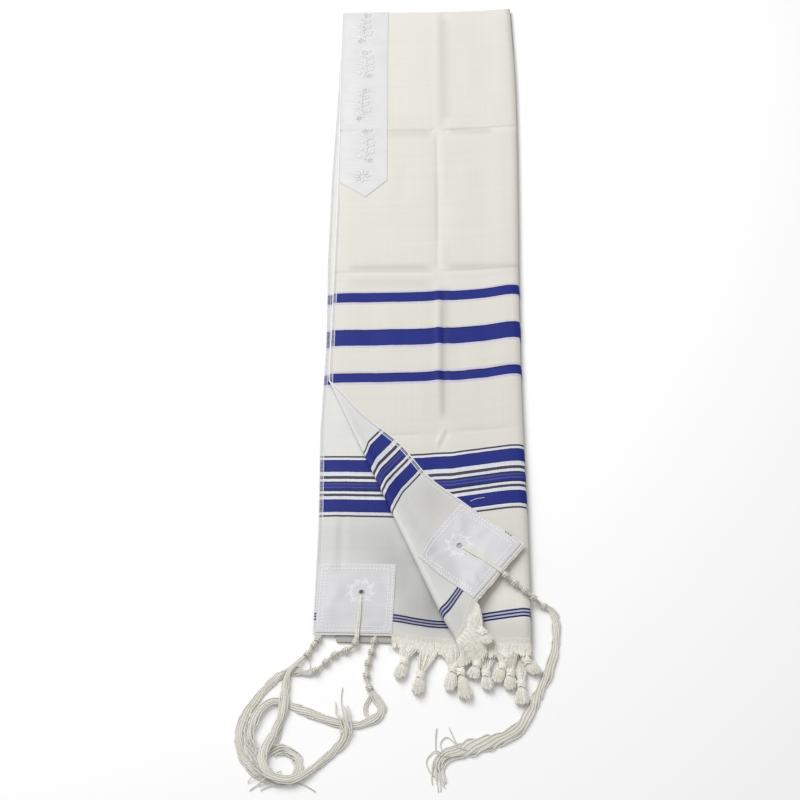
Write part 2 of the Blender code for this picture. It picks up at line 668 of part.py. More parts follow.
def make_tassel(bm, tassel):
    """A knot with the fan of threads that reaches it from the hem, and its tuft."""
    knot = Vector((tassel.knot_x, tassel.knot_y, tassel.knot_z)) * MM
    end = Vector((tassel.end_x * MM, tassel.end_y * MM, knot.z - 2 * MM))
    root = hem_point(tassel.hem, tassel.root * MM, HEM_S + STRIP_WIDTH / 2)
    direction = (end - knot).normalized() + (knot - root).normalized()
    direction = Vector((direction.x, direction.y, 0)).normalized()
    sideways, upwards = section_axes(direction)
    made = bmesh.ops.create_cone(bm, cap_ends=True, segments=6, radius1=1, radius2=1, depth=1,
                                 matrix=Matrix.Rotation(math.radians(30), 4, "Z"))["verts"]
    shape = {vertex: Vector(vertex.co) for vertex in made}
    faces = {face for vertex in made for face in vertex.link_faces if len(face.verts) == 6}
    back, front = sorted(faces, key=lambda face: face.normal.z)
    around = [shape[vertex] for vertex in front.verts]

    def ring(points, away, radius):
        place = knot + direction * away * TASSEL_KNOT_LENGTH
        return [place + (sideways * point.x + upwards * point.y) * radius * TASSEL_KNOT for point in points]

    for face, away, radius in ((back, -0.5, 0.62), (front, -0.2, 1)):
        for vertex, point in zip(list(face.verts), ring([shape[v] for v in face.verts], away, radius)):
            vertex.co = point
    for away, radius in ((0.2, 1), (0.5, 0.62)):
        front = extrude_face(bm, front, ring(around, away, radius))
    tuft = bmesh.ops.poke(bm, faces=split_face(bm, front, sideways))["faces"]
    fan = bmesh.ops.triangulate(bm, faces=split_face(bm, back, sideways))["faces"]
    flow = (end - knot).normalized()
    aside, _ = section_axes(flow)
    for heads, spread, sign in ((fan, FAN_SPREAD, -1), (tuft, TUFT_SPREAD, 1)):
        heads.sort(key=lambda face: round((face.calc_center_median() - knot).dot(sideways) / MM, 1))
        for number, head in enumerate(heads):
            across = number / (len(heads) - 1) - 0.5
            start = head.calc_center_median()
            if sign > 0:
                level = (0.25 if number % 2 else -0.25) * MM
                stop = end + aside * across * spread - flow * abs(across) * 5 * MM
                middle = blend(start, stop, 0.45) + aside * across * 2.5 * MM + Vector((0, 0, 0.3 * MM + level))
                grow_thread(bm, head, [start, middle, stop + Vector((0, 0, level))], TASSEL_THREAD)
            else:
                x = tassel.root * MM + across * spread * (1 if sideways.x > 0 else -1)
                stop = hem_point(tassel.hem, x, HEM_S + SEAM_GAP + STRIP_WIDTH * 0.45)
                middle = blend(start, stop, 0.5) + Vector((0, 0, 0.2 * MM))
                grow_thread(bm, head, [start, middle, stop], TASSEL_THREAD)


def make_fringe(hem, material, collection, cutters):
    """One hem's tassels, their threads rooted in a narrow strip along it."""
    start, stop = hem_span(hem)
    columns = STRIP_COLUMNS[hem]

    def place(column, row):
        return hem_point(hem, blend(start, stop, column / columns), HEM_S + SEAM_GAP + STRIP_WIDTH * (1 - row))

    strip = add_object(f"fringe_{hem}", grid_mesh(columns, 1, place), material, collection)
    thicken(strip, WALL)
    bm = bmesh.new()
    for tassel in TASSELS:
        if tassel.hem == hem:
            make_tassel(bm, tassel)
    bmesh.ops.recalc_face_normals(bm, faces=bm.faces)
    tassels = add_object(f"tassels_{hem}", bm, material, cutters)
    combine(strip, tassels, "UNION")


def main():
    for obj in list(bpy.data.objects):
        bpy.data.objects.remove(obj)
    parts = bpy.data.collections.new("tallit")
    cutters = bpy.data.collections.new("cutters")
    for collection in (parts, cutters):
        bpy.context.scene.collection.children.link(collection)
    wool = make_material("wool", (0.86, 0.84, 0.79), 0.9)
    satin = make_material("satin", (0.9, 0.9, 0.93), 0.45)
    thread = make_material("thread", (0.83, 0.81, 0.74), 0.8)
    make_front_half(wool, parts)
    make_back_half(wool, parts, cutters)
    make_atara(satin, parts)
    inner_hem = HEM_S - 1 * MM
    make_patch("patch_inner", on_inner, inner_left(HEM_S), 1, inner_hem, satin, parts, cutters)
    make_patch("patch_outer", outer_point, outer_left(HEM_S), -1, HEM_S, satin, parts, cutters)
    for corner in CORNERS:
        make_corner_fringe(corner, thread, parts)
    for hem in STRIP_COLUMNS:
        make_fringe(hem, thread, parts, cutters)


main()
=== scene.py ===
# A tallit folded in half along its length and again across, with one corner turned back.
# Metres, +Z up. s runs along the cloth from the cross fold to the hem, x across it from the selvages.
import math

import bmesh
import bpy
import numpy as np
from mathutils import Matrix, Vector


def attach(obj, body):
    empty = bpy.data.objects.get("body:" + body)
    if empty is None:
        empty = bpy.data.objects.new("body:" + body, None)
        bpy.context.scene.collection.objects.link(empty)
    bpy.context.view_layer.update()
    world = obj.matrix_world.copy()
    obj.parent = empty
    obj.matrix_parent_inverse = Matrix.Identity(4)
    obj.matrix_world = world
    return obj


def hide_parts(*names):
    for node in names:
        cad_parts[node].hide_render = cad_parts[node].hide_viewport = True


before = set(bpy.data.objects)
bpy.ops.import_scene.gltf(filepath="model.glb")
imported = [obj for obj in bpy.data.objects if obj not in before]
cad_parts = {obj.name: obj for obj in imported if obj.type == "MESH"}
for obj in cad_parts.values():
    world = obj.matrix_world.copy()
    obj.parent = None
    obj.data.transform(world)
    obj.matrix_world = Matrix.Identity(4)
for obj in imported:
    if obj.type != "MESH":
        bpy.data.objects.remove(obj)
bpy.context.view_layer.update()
mm = 0.001
tau = 2 * math.pi
print("frame loaded")


def inMm(**sizes):  # a piece's sizes, given in millimetres
    return {name: size * mm for name, size in sizes.items()}


studio = {
    "cameraPlace": (-0.0102, -1.1877, 1.6348),
    "cameraTurn": (math.radians(32.38), 0, 0.017),
    "lens": 77.06,  # mm, on a 36 mm sensor
    "keyPlace": (-0.95, 0.75, 1.5),
    "keySize": 1.5,
    "keyPower": 37.5,
    "fillPlace": (0.5, -0.9, 1.7),
    "fillSize": 1.6,
    "fillPower": 4,
    "sky": 0.445,
    "floorSize": 6,
    "floorColour": (0.95, 0.95, 0.95, 1),
}


def pointAt(obj, target):
    obj.rotation_euler = (Vector(target) - obj.location).to_track_quat("-Z", "Y").to_euler()


def buildStudio():
    bpy.ops.object.camera_add(location=studio["cameraPlace"], rotation=studio["cameraTurn"])
    camera = bpy.context.object
    camera.data.lens = studio["lens"]
    camera.data.clip_start = 0.05
    bpy.context.scene.camera = camera
    for name in ("key", "fill"):
        bpy.ops.object.light_add(type="AREA", location=studio[name + "Place"])
        light = bpy.context.object
        light.name = name + "Light"
        light.data.size = studio[name + "Size"]
        light.data.energy = studio[name + "Power"]
        pointAt(light, (0, -0.05, 0))
    world = bpy.data.worlds.new("paleRoom")
    bpy.context.scene.world = world
    world.use_nodes = True
    world.node_tree.nodes["Background"].inputs["Color"].default_value = (1, 1, 1, 1)
    world.node_tree.nodes["Background"].inputs["Strength"].default_value = studio["sky"]
    bpy.ops.mesh.primitive_plane_add(size=studio["floorSize"])
    floor = bpy.context.object
    floor.name = "floor"
    paper = bpy.data.materials.new("paleFloor")
    paper.use_nodes = True
    shader = paper.node_tree.nodes["Principled BSDF"]
    shader.inputs["Base Color"].default_value = studio["floorColour"]
    shader.inputs["Roughness"].default_value = 0.9
    shader.inputs["Specular IOR Level"].default_value = 0.1
    floor.data.materials.append(paper)
    bpy.context.scene.view_settings.view_transform = "Standard"


strip = {  # the folded strip, and the heights of its layers' middles
    **inMm(
        leftX=-113,
        leftLowX=-108.8,  # the outer selvage from leftOver on
        leftOver=330, rightX=111,
        topY=441.5,  # the cross fold's centre, at the left
        hemS=892,
        hemDrawn=7,  # the inner layer's hem is drawn back at the left
        drawnFromS=600, drawnOverS=200, drawnUpToX=20, drawnOverX=60, innerMid=3.9, outerMid=5.9,
        innerRise=0.8, outerRise=2.2, riseStartsX=60,
        wall=0.8,  # one layer of cloth
        cadWall=1.2, puff=0.9,
        topBow=2.6,  # the cross fold stands a little higher at the left
        topBowWidth=150, topBowLength=120,
        margin=24,  # the relief fades out this close to an edge
        hemFlat=12, edgeWidth=8, edgeDrop=1.7, edgeReach=1.0,
    ),
    "skew": 0.055, "skewEnds": {"outer": (790 * mm, 892 * mm), "inner": (600 * mm, 690 * mm)},
}
strip["foldRadius"] = (strip["outerMid"] + strip["outerRise"] - strip["innerMid"] - strip["innerRise"]) / 2

storageCreases = [  # soft troughs through every layer: x of a lengthwise one, or s of a crosswise one
    {"x": 14 * mm, "depth": 0.6 * mm, "width": 11 * mm},
    {"s": 198 * mm, "depth": 0.7 * mm, "width": 11 * mm},
    {"s": 420 * mm, "depth": 0.5 * mm, "width": 12 * mm},
    {"s": 648 * mm, "depth": 0.5 * mm, "width": 11 * mm},
]

turnedCorner = {  # its fold runs from the selvage at a to the hem at b
    **inMm(
        bow=0.4, radiusA=1.2, radiusB=6.0, mid=2.0, lift=7.5, liftLength=62,
        waist=5,  # its selvage is drawn towards the fold beside the wide stripes
        waistAt=250, waistLength=38, waistFade=16,
        dentFade=10,  # its dents fade out this close to the roll, and its lift liftFade
        liftFade=45, cornerFrom=50, cornerOver=60,
        slack=10.5,  # the cloth hidden below it is this much too long, so the fold lies nearer its patch
        slackOver=70, slackFromS=650, slackOverS=150, reach=26, upReach=120,
        bulge=7,  # its hem is dragged out this far below the patch
        bulgeDepth=14, bulgeFrom=-29, bulgePeak=9, bulgeEnds=34,
        bulgeDrop=5,  # of each bulgeHigh that it stands up
        bulgeHigh=12, gather=0.45, gatherLength=4.2,
    ),
    "a": Vector((-105, -139)) * mm, "b": Vector((32, -450)) * mm, "pull": 0.95, "slip": 0.075,
    "corner": Vector((107.5, -339.5)) * mm, "selvageWay": Vector((-0.79, 0.645)),
    "hemWay": Vector((-0.635, -0.84)),
    "cornerDrop": 0.55,  # the share of the lift lost towards the selvage
    "bulgeWay": Vector((0.93, -0.37)),
}
foldLength = (turnedCorner["b"] - turnedCorner["a"]).length
foldAlong = (turnedCorner["b"] - turnedCorner["a"]).normalized()
foldInward = Vector((-foldAlong.y, foldAlong.x))

# Wrinkles, in millimetres: where each starts and ends, its height and half-width, and its fade where not 0.3.
outerWrinkles = [
    (10, 470, 13, 240, 0.55, 6, 0.08), (20, 470, 22, 246, -0.45, 5, 0.08),
    (12, 246, 14, 24, -0.65, 2.6, 0.08), (20, 246, 21, 20, 0.5, 5.5, 0.08), (14, 20, 15, -160, 0.9, 4),
    (21, 22, 22, -205, -1.0, 3), (-112, 242, 6, 244, -1.15, 1.6, 0.05),
    (19, 246, 112, 252, -1.4, 1.6, 0.05), (-104, 237, 4, 239, 0.3, 5), (-116, 240, -46, 242, -0.75, 7, 0.1),
    (20, 241, 106, 247, 0.35, 3), (3, 243, 11, 250, -0.9, 1.7), (11, 250, 21, 242, 0.8, 1.8),
    (-110, 21, 12, 24, -0.8, 1.8, 0.08), (-108, 16, 10, 19, 0.55, 2.2), (16, 25, 112, 33, -0.8, 1.8, 0.08),
    (18, 20, 108, 28, 0.55, 2.2), (12, -219, 24, -188, 0.9, 2.4), (16, -221, 29, -191, -0.8, 2.4),
    (-58, -203, 8, -200, -0.6, 2.6), (28, -196, 108, -190, -0.6, 2.6), (-85, 395, -88, 330, -0.3, 9),
    (60, 420, 46, 290, 0.5, 14), (84, 400, 78, 300, -0.4, 11), (-40, 200, -52, 90, 0.5, 13),
    (-22, 215, -30, 120, -0.4, 9), (66, 200, 78, 70, -0.5, 13), (-46, 0, -38, -110, 0.5, 10),
    (-70, -10, -62, -100, -0.4, 9), (62, -30, 56, -150, 0.5, 12), (40, -60, 38, -170, -0.4, 9),
    (84, -230, 74, -300, 0.5, 9), (66, -340, 84, -420, 0.8, 9), (50, -380, 60, -440, -0.7, 6),
    (94, -370, 98, -440, -0.6, 6),
]
innerWrinkles = [
    (-88, -300, -86, -372, -1.2, 3.2), (-96, -292, -95, -374, 0.7, 4.5), (-80, -296, -78, -360, 0.5, 4.5),
    (-46, -330, -34, -362, 0.8, 8), (-12, -350, -18, -404, -1.3, 10), (-30, -345, 0, -338, 0.8, 7),
    (6, -380, 4, -436, 0.7, 6), (-28, -400, -26, -436, 0.5, 6), (-112, 60, -104, -40, 0.3, 10),
]
# Soft dents and swells of the turned corner, by how far their ends lie along its fold and away from it.
flapWrinkles = [
    (196, 14, 250, 30, -0.9, 7), (226, 12, 286, 22, 0.8, 6), (120, 10, 180, 26, 0.6, 7),
    (60, 6, 130, 12, -0.4, 5), (296, 14, 330, 22, -0.9, 4), (292, 28, 334, 40, 0.9, 4),
    (300, 46, 336, 58, -0.7, 4), (250, 40, 300, 60, 0.6, 7),
]


def clamped(t):
    return min(1.0, max(0.0, t))


def smooth(t):
    t = clamped(t)
    return t * t * (3 - 2 * t)


def blend(a, b, t):
    return a + (b - a) * t


def skewAt(s, layer):
    starts, ends = strip["skewEnds"][layer]
    return strip["skew"] * (1 - smooth((s - starts) / (ends - starts)))


def layerY(x, s, layer):
    y = strip["topY"] - s + skewAt(s, layer) * (x - strip["leftX"])
    atLeft = 1 - smooth((x - strip["leftX"]) / strip["topBowWidth"])
    y += strip["topBow"] * atLeft * (1 - smooth(s / strip["topBowLength"]))
    if layer == "inner":
        nearHem = smooth((s - strip["drawnFromS"]) / strip["drawnOverS"])
        y += strip["hemDrawn"] * nearHem * smooth((strip["drawnUpToX"] - x) / strip["drawnOverX"])
    return y


def relief(x, y):
    s = strip["topY"] - y + strip["skew"] * (x - strip["leftX"])
    height = strip["puff"]
    for crease in storageCreases:
        away = x - crease["x"] if "x" in crease else s - crease["s"]
        height -= crease["depth"] * math.exp(-((away / crease["width"]) ** 2))
    across = smooth((x - strip["leftX"]) / strip["margin"]) * smooth((strip["rightX"] - x) / strip["margin"])
    along = smooth(s / strip["margin"]) * smooth((strip["hemS"] - strip["hemFlat"] - s) / strip["margin"])
    return height * across * along


def wrinkled(x, y, wrinkles):
    height = 0
    x, y = x / mm, y / mm
    for ax, ay, bx, by, raised, width, *ownFade in wrinkles:
        near = 3 * width
        besideX = min(ax, bx) - near <= x <= max(ax, bx) + near
        if not (besideX and min(ay, by) - near <= y <= max(ay, by) + near):
            continue
        dx, dy = bx - ax, by - ay
        length = math.hypot(dx, dy)
        along = ((x - ax) * dx + (y - ay) * dy) / length
        away = ((x - ax) * dy - (y - ay) * dx) / length
        past = max(0, -along, along - length)
        fade = 1
        if length > near:
            ends = (ownFade or [0.3])[0] * length
            fade = smooth(along / ends) * smooth((length - along) / ends)
        height += raised * fade * math.exp(-(away**2 + past**2) / width**2)
    return height * mm


def rise(x):
    ends = strip["rightX"] - strip["foldRadius"]
    return smooth((x - strip["riseStartsX"]) / (ends - strip["riseStartsX"]))


def outerZ(x, y):
    return strip["outerMid"] + relief(x, y) + strip["outerRise"] * rise(x)


def innerZ(x, y):
    return strip["innerMid"] + relief(x, y) + strip["innerRise"] * rise(x)


def outerLeft(s):
    return blend(strip["leftX"], strip["leftLowX"], smooth(s / strip["leftOver"]))


innerSelvage = {  # its x by s, in millimetres
    "s": (0, 100, 180, 272, 404, 454, 522, 567, 597, 636, 675, 725, 762, 892),
    "x": (-113.4, -114, -115, -117.2, -117, -115.4, -114, -114.8, -115.2, -115.9, -115, -113.6,
          -112.8, -112.8),
}


def innerLeft(s):
    return float(np.interp(s / mm, innerSelvage["s"], innerSelvage["x"])) * mm


edgeShape = {  # how the lengthwise fold strays from a straight line
    **inMm(
        drawnIn=3.3,  # towards the cross fold
        drawnOver=92, corner=0.7, cornerOver=10,
        spread=1.8,  # towards the hem
        spreadFrom=560, spreadOver=260, sway=1.2, swayLength=110,
    ),
}


def rightEdge(s):
    look = edgeShape
    drawnIn = look["drawnIn"] * math.exp(-((s / look["drawnOver"]) ** 2))
    drawnIn += look["corner"] * math.exp(-s / look["cornerOver"])
    spread = look["spread"] * smooth((s - look["spreadFrom"]) / look["spreadOver"])
    return strip["rightX"] - drawnIn + spread + look["sway"] * math.sin(s / look["swayLength"])


def rollRadius(t):
    return blend(turnedCorner["radiusA"], turnedCorner["radiusB"], smooth(t / foldLength))


def foldBow(t):
    return turnedCorner["bow"] * math.sin(math.pi * clamped(t / foldLength))


def slackAt(s):
    return turnedCorner["slack"] * smooth((s - turnedCorner["slackFromS"]) / turnedCorner["slackOverS"])


def rollLimits(s):  # the x at which a row leaves the roll for the flap, and the panel for the roll
    a = turnedCorner["a"]
    slope = foldInward.x + skewAt(s, "outer") * foldInward.y
    atLeft = layerY(strip["leftX"], s, "outer")
    x = strip["leftX"] - (foldInward.x * (strip["leftX"] - a.x) + foldInward.y * (atLeft - a.y)) / slope
    t = (Vector((x, layerY(x, s, "outer"))) - a).dot(foldAlong)
    radius, bow = rollRadius(t), foldBow(t)
    left, slack = outerLeft(s), slackAt(s)
    ends = x - ((math.pi - 1) * radius + bow) / slope
    starts = x + (radius - bow) / slope
    return max(left, ends - slack), max(left, starts - slack)


def flapHeight(t, e, s):  # a teardrop beside the roll, then the lift at the hem
    radius = rollRadius(t)
    height = turnedCorner["mid"] + (2 * radius - turnedCorner["mid"]) * math.exp(-((e / (5 * radius)) ** 2))
    nearHem = smooth((s - strip["hemS"] + turnedCorner["liftLength"]) / turnedCorner["liftLength"])
    height += wrinkled(t, e, flapWrinkles) * smooth(e / turnedCorner["dentFade"])
    atCorner = smooth((e - turnedCorner["cornerFrom"]) / turnedCorner["cornerOver"])
    lift = turnedCorner["lift"] * (1 - turnedCorner["cornerDrop"] * atCorner)
    return height + lift * nearHem * smooth(e / turnedCorner["liftFade"])


def draggedHem(x, s):  # the share of the bulge below the patch, by the cloth's own x and s
    look = turnedCorner
    up = smooth((x - look["bulgeFrom"]) / (look["bulgePeak"] - look["bulgeFrom"]))
    down = smooth((look["bulgeEnds"] - x) / (look["bulgeEnds"] - look["bulgePeak"]))
    return up * down * math.exp(-((max(0, strip["hemS"] - s) / look["bulgeDepth"]) ** 2))


def edgeRound(x, s):  # the outer layer rounds down to the lengthwise fold
    t = max(0, (x - rightEdge(s) + strip["foldRadius"]) / strip["edgeWidth"] + 1)
    return strip["edgeDrop"] * t**2


def outerPoint(x, s):  # the middle of the outer layer, from where it would lie with no corner turned back
    slack = slackAt(s)
    if slack:
        slack *= 1 - smooth((x - rollLimits(s)[1]) / turnedCorner["slackOver"])
    flat = Vector((x + slack, layerY(x + slack, s, "outer")))
    fromA = flat - turnedCorner["a"]
    t = fromA.dot(foldAlong)
    bow, radius = foldBow(t), rollRadius(t)
    beyond = -fromA.dot(foldInward) - bow
    if beyond <= -radius:
        height = outerZ(flat.x, flat.y) + wrinkled(flat.x, flat.y, outerWrinkles)
        return Vector((flat.x, flat.y, height - edgeRound(x, s)))
    turned = (beyond + radius) / radius
    if turned < math.pi:
        place = turnedCorner["a"] + foldAlong * t + foldInward * (radius - radius * math.sin(turned) - bow)
        height = radius * (1 - math.cos(turned))
    else:
        e = beyond - (math.pi - 1) * radius
        fromHem = strip["hemS"] - s
        place = turnedCorner["a"] + foldAlong * (t - turnedCorner["slip"] * e)
        waist = ((fromHem - turnedCorner["waistAt"]) / turnedCorner["waistLength"]) ** 2
        pressed = turnedCorner["waist"] * math.exp(-waist) * smooth(e / turnedCorner["waistFade"])
        place += foldInward * (radius + turnedCorner["pull"] * e - bow - pressed)
        atCorner = turnedCorner["corner"] + turnedCorner["selvageWay"] * fromHem
        atCorner += turnedCorner["hemWay"] * (x - outerLeft(s))
        squared = smooth(e / turnedCorner["reach"])
        squared *= 1 - smooth((fromHem - patches["side"]) / turnedCorner["upReach"])
        place = blend(place, atCorner, squared)
        height = flapHeight(t, e, s)
    dragged = draggedHem(x, s)
    place += turnedCorner["bulgeWay"] * turnedCorner["bulge"] * dragged
    ripple = turnedCorner["gather"] * math.sin(tau * x / turnedCorner["gatherLength"])
    height += (ripple - turnedCorner["bulgeDrop"] * height / turnedCorner["bulgeHigh"]) * dragged
    return Vector((place.x, place.y, outerZ(place.x, place.y) + height))


def outerWrap(x, angle):  # over the cross fold, down to the floor
    centre = layerY(x, 0, "outer")
    top = outerZ(x, centre) + strip["cadWall"] / 2 - strip["wall"] / 2
    radius = (top - strip["wall"] / 2) / 2
    return Vector((x, centre + radius * math.sin(angle), top - radius + radius * math.cos(angle)))


def onOuter(x, s):
    if s >= 0:
        return outerPoint(x, s)
    radius = (outerZ(x, layerY(x, 0, "outer")) - strip["wall"] / 2) / 2
    return outerWrap(x, -s / radius)


def onInner(x, s):
    y = layerY(x, s, "inner")
    return Vector((x, y, innerZ(x, y) + wrinkled(x, y, innerWrinkles)))


def lifted(surface, x, s, height, down=1):  # out along the normal. down is -1 where the other face shows
    step = 0.5 * mm
    across = surface(x + step, s) - surface(x - step, s)
    along = surface(x, s - step) - surface(x, s + step)
    return surface(x, s) + across.cross(along).normalized() * height * down


weftBow = {  # how far the weft lies beyond the straight line, by x, at the stripes and at the hem
    "x": (-113, -96, -50, -24, -12, -3, 6, 13, 22, 31, 45, 68, 86, 95, 105, 114),
    "stripes": (-1.2, -0.7, 0.5, 0.75, 0.85, 0.8, 0.3, -0.5, -0.3, 0.8, 0.3, -1.1, -3.3, -4.4, -4.8, -4.0),
    "wide": (-1.2, -0.7, 0.5, 0.75, 0.85, 0.8, 0.2, -0.5, -0.4, -0.2, -2.1, -4.6, -6.0, -6.7, -6.7, -5.6),
    "wideFrom": 600,
    "wideTo": 650,
    "hem": (0, 0, 0, -0.1, -2.7, -4.0, -5.0, -5.5, -4.0, -2.5, -4.0, -7.1, -9.0, -10.2, -11.1, -11.0),
    "hemFrom": 760,
    "hemTo": 862,
    "turned": 6 * mm,  # the wide stripes climb this far over the turned corner's roll
    "turnedOver": 20 * mm,
}


def weftAt(x, s):  # the weave's own length at a point of the outer layer
    bow = weftBow
    stripes, wide, hem = (np.interp(x / mm, bow["x"], bow[key]) for key in ("stripes", "wide", "hem"))
    toWide = smooth((s / mm - bow["wideFrom"]) / (bow["wideTo"] - bow["wideFrom"]))
    toHem = smooth((s / mm - bow["hemFrom"]) / (bow["hemTo"] - bow["hemFrom"]))
    climb = bow["turned"] * toWide * (1 - toHem) * smooth((rollLimits(s)[1] - x) / bow["turnedOver"])
    return s - blend(blend(stripes, wide, toWide), hem, toHem) * mm + climb


def newObject(name, mesh, materials):
    for material in materials:
        mesh.materials.append(material)
    obj = bpy.data.objects.new(name, mesh)
    bpy.context.scene.collection.objects.link(obj)
    return obj


def makeSheet(name, columns, rows, place, weaveAt, materials, shadeAt=None):  # cloth, its UVs in metres
    points = [place(c, r) for r in range(rows + 1) for c in range(columns + 1)]
    weave = [weaveAt(c, r) for r in range(rows + 1) for c in range(columns + 1)]
    wide = columns + 1
    corners = [r * wide + c for r in range(rows) for c in range(columns)]
    faces = [(at, at + wide, at + wide + 1, at + 1) for at in corners]
    mesh = bpy.data.meshes.new(name)
    mesh.from_pydata(points, [], faces)
    flat = [value for face in faces for corner in face for value in weave[corner]]
    mesh.uv_layers.new(name="weave").data.foreach_set("uv", flat)
    if shadeAt:
        shades = [shadeAt(c, point) for c, point in zip(list(range(wide)) * (rows + 1), points)]
        mesh.attributes.new("shade", "FLOAT", "POINT").data.foreach_set("value", shades)
    bm = bmesh.new()
    bm.from_mesh(mesh)
    bmesh.ops.remove_doubles(bm, verts=bm.verts, dist=0.02 * mm)
    bm.to_mesh(mesh)
    bm.free()
    return newObject(name, mesh, materials)


def assign(obj, node=None):
    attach(obj, "root")
    if node:
        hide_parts(node)
    return obj


def finishSheet(obj, thickness, node, reverse=0):  # give the grid its thickness
    bpy.ops.object.select_all(action="DESELECT")
    obj.select_set(True)
    bpy.context.view_layer.objects.active = obj
    wall = obj.modifiers.new("wall", "SOLIDIFY")
    wall.thickness = thickness
    wall.offset = 0
    wall.material_offset = reverse
    bpy.ops.object.modifier_apply(modifier=wall.name)
    bpy.ops.object.shade_smooth_by_angle(angle=math.radians(50))
    return assign(obj, node)


def spaced(stretches, step=None):  # places about a step apart; a stretch is its start, stop and own step
    places = []
    for start, stop, own in stretches:
        count = max(1, round(abs(stop - start) / (own or step)))
        places += [start + (stop - start) * n / count for n in range(count)]
    return places + [stretches[-1][1]]


def unit(rows):
    return rows / np.linalg.norm(rows, axis=-1, keepdims=True)


def travelled(points):  # the length from the start to each point
    steps = np.linalg.norm(np.diff(points, axis=0), axis=1)
    return np.concatenate([[0], np.cumsum(steps)])


def evenly(points, step):
    points = np.asarray(points, float)
    along = travelled(points)
    places = np.linspace(0, along[-1], max(4, round(along[-1] / step) + 1))
    return np.stack([np.interp(places, along, axis) for axis in points.T], axis=1)


def curveThrough(stops):  # eight points for each step of a smooth curve through the stops
    stops = [Vector(stop) for stop in stops]
    ends = [2 * stops[0] - stops[1]] + stops + [2 * stops[-1] - stops[-2]]
    curve = []
    for a, b, c, d in zip(ends, ends[1:], ends[2:], ends[3:]):
        for n in range(8):
            t = n / 8
            bend = (2 * a - 5 * b + 4 * c - d) * t**2 + (3 * b - a - 3 * c + d) * t**3
            curve.append(0.5 * (2 * b + (c - a) * t + bend))
    return np.array(curve + [stops[-1]])


def axesAlong(path, out=(0, 0, 1)):
    ahead = unit(np.gradient(path, axis=0))
    aside = unit(np.cross(np.broadcast_to(out, path.shape), ahead))
    return ahead, aside, np.cross(ahead, aside)


def loftPart(rings, uv, tone):  # a closed skin over rings of points, its UV given by ring and by side
    rows, sides = rings.shape[:2]
    row = np.arange(rows - 1)[:, None] * sides
    side = np.arange(sides)[None]
    after = (side + 1) % sides
    quads = np.stack([row + side, row + after, row + after + sides, row + side + sides], axis=-1)
    quads = quads.reshape(-1, 4)
    uvs = np.stack([uv[:-1, :-1], uv[:-1, 1:], uv[1:, 1:], uv[1:, :-1]], axis=2).reshape(-1, 4, 2)
    caps = np.stack([side[0][::-1], side[0] + (rows - 1) * sides])
    points = rings.reshape(-1, 3)
    a, b, c, d = (points[quads[:, n]] - points[0] for n in range(4))
    if np.einsum("ij,ij", a, np.cross(b, c)) + np.einsum("ij,ij", a, np.cross(c, d)) < 0:
        quads, uvs, caps = quads[:, ::-1], uvs[:, ::-1], caps[:, ::-1]
    return {
        "points": points,
        "faces": [quads, caps],
        "uvs": [uvs.reshape(-1, 2), np.zeros((2 * sides, 2))],
        "tone": tone,
    }


def threadPart(path, radius, tone=1.0, sides=4, out=(0, 0, 1), ply=0.0, pitch=4.5 * mm, tip=0.4):
    # A thread along a path, with the turns of its two plies as lobes. Its UV runs round it and along it.
    _, aside, upwards = axesAlong(path, out)
    along = travelled(path)
    turns = np.arange(sides) / sides * tau
    reach = radius * (1 + ply * np.cos(2 * (turns - along[:, None] / pitch * tau)))
    reach[[0, -1]] *= tip
    ring = np.cos(turns)[:, None] * aside[:, None] + np.sin(turns)[:, None] * upwards[:, None]
    uv = np.stack(np.broadcast_arrays(np.linspace(0, 1, sides + 1), along[:, None]), axis=-1)
    return loftPart(path[:, None] + reach[..., None] * ring, uv, tone)


def ridged(rings, tone):  # a skin whose twist shows as ridges along it
    first = rings[len(rings) // 2]
    around = travelled(np.concatenate([first, first[:1]]))
    uv = np.stack(np.broadcast_arrays(np.zeros((len(rings), 1)), around[None]), axis=-1)
    return loftPart(rings, uv, tone)


def joinParts(name, parts, material, node=None):
    corners, sizes, uvs, points, tones = [], [], [], [], []
    first = 0
    for part in parts:
        for faces, uv in zip(part["faces"], part["uvs"]):
            corners.append((faces + first).ravel())
            sizes.append(np.full(len(faces), faces.shape[1]))
            uvs.append(uv)
        points.append(part["points"])
        tones.append(np.broadcast_to(part["tone"], len(part["points"])))
        first += len(part["points"])
    sizes = np.concatenate(sizes)
    mesh = bpy.data.meshes.new(name)
    mesh.vertices.add(first)
    mesh.vertices.foreach_set("co", np.concatenate(points).ravel())
    mesh.loops.add(int(sizes.sum()))
    mesh.loops.foreach_set("vertex_index", np.concatenate(corners))
    mesh.polygons.add(len(sizes))
    mesh.polygons.foreach_set("loop_start", np.concatenate([[0], np.cumsum(sizes)[:-1]]))
    mesh.update(calc_edges=True)
    mesh.uv_layers.new(name="thread").data.foreach_set("uv", np.concatenate(uvs).ravel())
    mesh.attributes.new("tone", "FLOAT", "POINT").data.foreach_set("value", np.concatenate(tones))
    mesh.shade_smooth()
    return assign(newObject(name, mesh, [material]), node)


